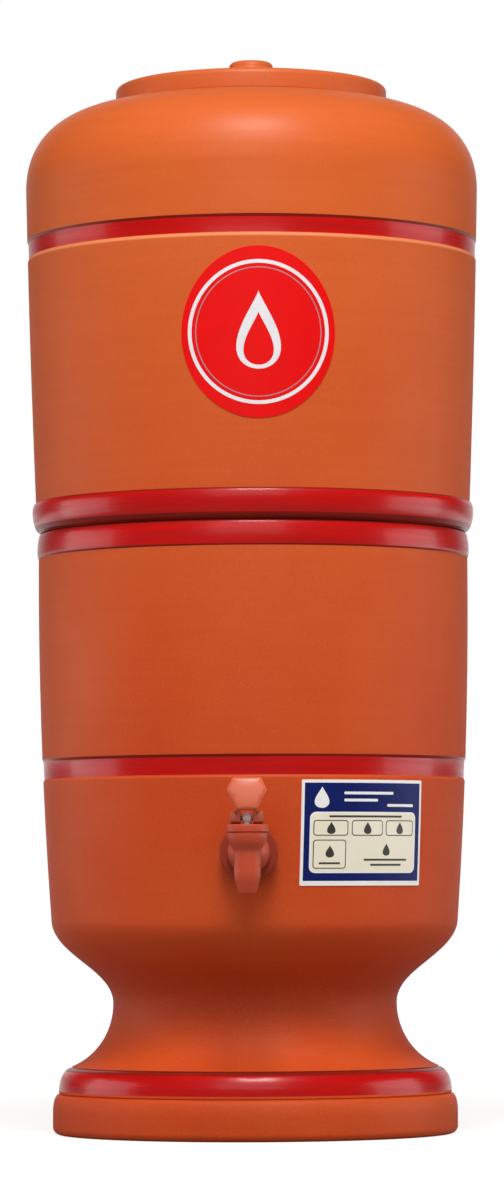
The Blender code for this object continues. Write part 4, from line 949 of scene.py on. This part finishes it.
def front_sticker():
    red, pale, grey = range(3)
    layers = [
        (oval(78.5, 88.0), red, 0),
        (oval(72.0, 74.0), pale, 1),
        (oval(68.2, 70.2), red, 2),
        (oval(64.6, 66.6), grey, 3),
        (oval(63.4, 65.4), red, 4),
        (drop(12.5, 20.0, (0, 1)), pale, 5),
        (drop(8.5, 13.6, (0, -3.4)), red, 6),
    ]
    materials = [STICKER_RED, STICKER_PALE, STICKER_GREY]
    sticker("front_seal_sticker", layers, materials, upper_wall, 3, 412, "upper", "front_label")


def rating_sticker():
    """A blue sheet with a white rim and bars, and a pale field with frames, drops and bars."""
    blue, white, cream, line = range(4)
    layers = [(box(-36.3, -27, 36.3, 27, 0.6), white, 0), (box(-34.9, -24.6, 34.9, 25.4, 0.3), blue, 1)]
    layers += [(box(-32.0, -20.6, 32.0, 10.6, 3.2), white, 2), (box(-31.2, -19.8, 31.2, 9.8, 2.8), cream, 3)]
    frames = [(-30.2, -1.6, -11.4, 6.4), (-9.4, -1.6, 9.4, 6.4), (11.4, -1.6, 30.2, 6.4)]
    for left, bottom, right, top in frames + [(-30.2, -18.4, -12.4, -3.6)]:
        layers.append((box(left, bottom, right, top, 1.6), line, 4))
        layers.append((box(left + 0.5, bottom + 0.5, right - 0.5, top - 0.5, 1.2), cream, 5))
    for centre in ((-20.8, 2.4), (0, 2.4), (20.8, 2.4), (-21.3, -9.6), (12, -8.6)):
        layers.append((drop(2.5, 3.1, centre), line, 6))
    for left, right, level in ((-22, 22, 8.3), (-27, -15.6, -15.6), (-2, 26, -13.8), (2, 22, -16.4)):
        layers.append((box(left, level - 0.5, right, level + 0.5, 0.4), line, 6))
    for left, right, level in ((-14, 16, 20.2), (-14, 6, 16.6), (12, 30, 14.0)):
        layers.append((box(left, level - 0.7, right, level + 0.7, 0.6), white, 2))
    layers.append((drop(4.2, 5.4, (-26, 18.0)), white, 2))
    materials = [STICKER_BLUE, STICKER_WHITE, STICKER_CREAM, STICKER_LINE]
    sticker("rating_sticker", layers, materials, lower_wall, 33, 157, "pot", "rating_label")


front_sticker()
rating_sticker()


# Filter candle and float valve


def candle():
    """The base with its threaded stem, the ceramic shell, and the gasket and washer at the floor."""
    bore, stem_radius, stem_foot = 2.5, 6, 274.2
    cup_base, cup_floor, cup_rim, cup_radius, cup_inside = 311.7, 316.2, 326.2, 31.5, 29.3
    cup = [(bore, stem_foot), (stem_radius, stem_foot, 0.5)] + thread(275.6, 5, 5.5, stem_radius)
    cup += [(stem_radius, 286), (stem_radius, cup_base, 0.4), (cup_radius, cup_base, 1.0)]
    cup += [(cup_radius, cup_rim, 0.6), (cup_inside, cup_rim, 0.5), (cup_inside, cup_floor, 0.6)]
    cup.append((bore, cup_floor, 0.4))
    base = linked("candle_base_cup", turned(eased(cup, 4, closed=True)))
    finish(base, WHITE_PLASTIC, "upper", "candle_base")
    shell_base, shell_radius, shell_inside, dome_z = 316.5, 29, 22, 396.5
    shell = [(shell_inside, shell_base), (shell_radius, shell_base, 0.8), (shell_radius, dome_z)]
    outline = eased(shell, 3) + arc((0, dome_z), (shell_radius, 22), 4, 90, 18)
    outline += arc((0, dome_z), (shell_inside, 15), 90, 0, 14)
    element = linked("ceramic_candle", turned(outline))
    finish(element, CERAMIC, "upper", "candle_element")
    hole = 6.8
    for name, node, low, high, radius in (
        ("candle_rubber_gasket", "candle_gasket", 308.4, 311.4, 20),
        ("floor_rubber_washer", "candle_lower_washer", 294.8, 296.8, 17),
    ):
        outline = [(hole, low, 0.4), (radius, low, 0.7), (radius, high, 0.7), (hole, high, 0.4)]
        washer = linked(name, turned(eased(outline, 4, closed=True)))
        finish(washer, RUBBER, "upper", node)


def wing_nut():
    base, top, hole, hub_radius = 284.5, 294.5, 6.3, 10.5
    hub = [(hole, base, 0.3), (hub_radius, base, 0.8), (hub_radius, top, 0.8), (hole, top, 0.3)]
    nut = linked("candle_wing_nut_body", turned(eased(hub, 4, closed=True)))
    wing = [(8.25, base), (8.25, top), (23, 290.5, 3.0), (23, 277.5, 3.0), (hub_radius, base)]
    for side in (-1, 1):
        outline = eased([(side * across, *rest) for across, *rest in wing], 6, closed=True)
        combine(nut, prism(outline, 3.5, (0, AXIS_Y, 0)), "UNION")
    soften(nut, 0.5, 3, 50)
    finish(nut, WHITE_PLASTIC, "upper", "candle_wing_nut")


def float_cage():
    """A screwed neck and a drum with three wide windows, open below inside a lip."""
    neck_hole, neck_top, roof, ceiling, lip, base = 6.3, 284.2, 274.2, 271.7, 248, 245.5
    outside, inside, opening = 30, 27.8, 22
    outline = [(neck_hole, roof), (neck_hole, neck_top, 0.4), (9.5, neck_top, 0.6), (9.5, roof, 0.6)]
    outline += [(outside, roof, 1.2), (outside, base, 0.6), (opening, base, 0.5), (opening, lip, 0.4)]
    outline += [(inside, lip, 0.6), (inside, ceiling, 0.8), (neck_hole, ceiling, 0.4)]
    cage = linked("float_cage", turned(eased(outline, 4, closed=True), 96))
    sill, head, width, reach = 250.2, 269.5, 94, 40
    for window in range(3):
        start = window * 120 - width / 2
        slice_outline = [(0, 0)] + arc((0, 0), (reach, reach), start, start + width, 6)
        place = (0, AXIS_Y, (sill + head) / 2)
        combine(cage, prism(slice_outline, head - sill, place, "z"), "DIFFERENCE")
    soften(cage, 0.35, 2, 50)
    finish(cage, WHITE_PLASTIC, "upper", "float_housing")


def float_and_plug():
    """A float like an upturned cup, and the plug whose peg stands in its pocket."""
    rim, side, inside, top, under = 248.3, 26.2, 24.2, 265.3, 263.3
    pocket, pocket_floor, socket, socket_base = 2.8, 261.0, 4.8, 259.0
    cup = [(0, pocket_floor), (pocket, pocket_floor, 0.3), (pocket, top, 0.3), (side, top, 2.0)]
    cup += [(side, rim, 0.5), (inside, rim, 0.5), (inside, under, 1.5), (socket, under, 0.6)]
    cup += [(socket, socket_base, 0.5), (0, socket_base)]
    floating = linked("float_cup", turned(eased(cup, 4)))
    finish(floating, WHITE_PLASTIC, "float", "float_disc")
    peg, brim, brim_base, brim_top, tip, tip_top = 2.5, 7, 265.6, 267.1, 4.5, 269.9
    head = [(2.6, brim_base), (brim, brim_base, 0.4), (brim, brim_top, 0.5), (tip, brim_top, 0.3)]
    outline = [(0, 261.3), (2.3, 261.3), (peg, 261.5), (peg, brim_base)]
    outline += eased(head + [(tip, tip_top, 1.2), (0, tip_top)], 5)
    bung = linked("float_rubber_plug", turned(outline, SMALL_SEGMENTS))
    finish(bung, RUBBER, "float", "float_plug")


def dress_solids():
    """The valve cup and the carbon core keep their solids and get finer materials."""
    for node, material in (("tap_seat", SILICONE), ("candle_core", CARBON)):
        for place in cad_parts[node].material_slots:
            place.material = material


candle()
wing_nut()
float_cage()
float_and_plug()
dress_solids()


# Stage, lights and camera


# Name, azimuth, elevation, distance, width, height, power and the level that it is aimed at
LAMPS = (
    ("key_softbox", 3, 54, 1.6, 0.50, 0.60, 17.9, 300),
    ("front_softbox", -2, 24, 1.6, 1.10, 0.80, 3.6, 300),
    ("left_softbox", -94, 4, 1.1, 0.75, 0.70, 3.2, 180),
    ("right_softbox", 92, 4, 1.1, 0.75, 0.70, 3.6, 180),
)


def seen_by_camera(tree, path):
    return calculated(tree, "MAXIMUM", path["Is Camera Ray"], path["Is Transmission Ray"])


def floor_material():
    """White to the camera, and behind the pot in reflections too; a plain diffuse surface to the lights."""
    bounce, near_glow, far_glow = (0.30, 0.29, 0.28), 0.80, 1.0
    material, tree, shader, place = new_material("pale_floor", Roughness=0.9, Specular_IOR_Level=0.0)
    darker = [value * 0.96 for value in bounce]
    colour = mixed(tree, grain(tree, place, 3.0, 2.0), bounce, darker)
    tree.links.new(colour, shader.inputs["Base Color"])
    path = add(tree, "LightPath").outputs
    behind = spread(tree, axis_of(tree, place, "Y"), 0.2, 1.2, 0.02, 1.0)
    mirrored = calculated(tree, "MULTIPLY", path["Is Glossy Ray"], behind)
    glowing = calculated(tree, "MAXIMUM", seen_by_camera(tree, path), mirrored)
    distance = add(tree, "VectorMath", {0: place}, operation="LENGTH").outputs["Value"]
    strength = spread(tree, distance, 0.3, 1.5, near_glow, far_glow)
    glow = add(tree, "Emission", {"Color": (1, 1, 1, 1), "Strength": strength})
    both = add(tree, "AddShader", {0: shader.outputs[0], 1: glow.outputs[0]})
    mix = add(tree, "MixShader", {0: glowing, 1: shader.outputs[0], 2: both.outputs[0]})
    tree.links.new(mix.outputs[0], tree.nodes["Material Output"].inputs["Surface"])
    return material


def make_floor():
    bm = bmesh.new()
    bmesh.ops.create_grid(bm, x_segments=1, y_segments=1, size=6.0)
    floor = linked("floor", bm)
    floor.data.materials.append(floor_material())


def softbox(name, azimuth, elevation, distance, width, height, power, level):
    """An area light that looks at the pot. Azimuth 0 is in front of the tap, and goes round to +X."""
    light = bpy.data.lights.new(name, "AREA")
    light.shape = "RECTANGLE"
    light.size = width
    light.size_y = height
    light.energy = power
    turn, rise = math.radians(azimuth), math.radians(elevation)
    away = Vector((math.sin(turn) * math.cos(rise), -math.cos(turn) * math.cos(rise), math.sin(rise)))
    lamp = bpy.data.objects.new(name, light)
    lamp.location = Vector((0, AXIS_Y, level)) * MM + away * distance
    lamp.rotation_euler = away.to_track_quat("Z", "Y").to_euler()
    bpy.context.scene.collection.objects.link(lamp)


def make_world():
    """White to the camera, a soft light from the front, and dark in mirrors but for what lies behind."""
    front_light, back_light, dim_mirror, far_mirror = 0.62, 0.12, 0.03, 1.0
    world = bpy.data.worlds.new("studio")
    world.use_nodes = True
    bpy.context.scene.world = world
    tree = world.node_tree
    path = add(tree, "LightPath").outputs
    forth = axis_of(tree, add(tree, "TexCoord").outputs["Generated"], "Y")
    around = spread(tree, forth, -0.9, 0.5, front_light, back_light)
    behind = spread(tree, forth, 0.75, 1.0, dim_mirror, far_mirror)
    strength = blended(tree, path["Is Glossy Ray"], around, behind)
    sky = tree.nodes["Background"]
    sky.inputs["Color"].default_value = (1, 1, 1, 1)
    strength = blended(tree, seen_by_camera(tree, path), strength, 1.0)
    tree.links.new(strength, sky.inputs["Strength"])


def make_camera():
    """The photograph's view: a long lens near the floor, a little to the tap's right and tipped up."""
    turn, pitch, roll, aside = math.radians(1.4), math.radians(3.33), math.radians(-0.245), 0.000245
    distance, height = 2.718, 0.1237
    sensor, focal_pixels, photo_height = 24.0, 5128, 1200
    data = bpy.data.cameras.new("camera")
    data.sensor_fit = "VERTICAL"
    data.sensor_height = sensor
    data.lens = sensor * focal_pixels / photo_height
    data.clip_start = 0.01
    camera = bpy.data.objects.new("camera", data)
    camera.location = (math.sin(turn) * distance, AXIS_Y * MM - math.cos(turn) * distance, height)
    heading = Matrix.Rotation(turn + aside, 4, "Z")
    tip = Matrix.Rotation(math.pi / 2 + pitch, 4, "X")
    camera.rotation_euler = (heading @ tip @ Matrix.Rotation(roll, 4, "Z")).to_euler()
    bpy.context.scene.collection.objects.link(camera)
    bpy.context.scene.camera = camera
    bpy.context.scene.view_settings.view_transform = "Standard"


make_floor()
for lamp_values in LAMPS:
    softbox(*lamp_values)
make_world()
make_camera()
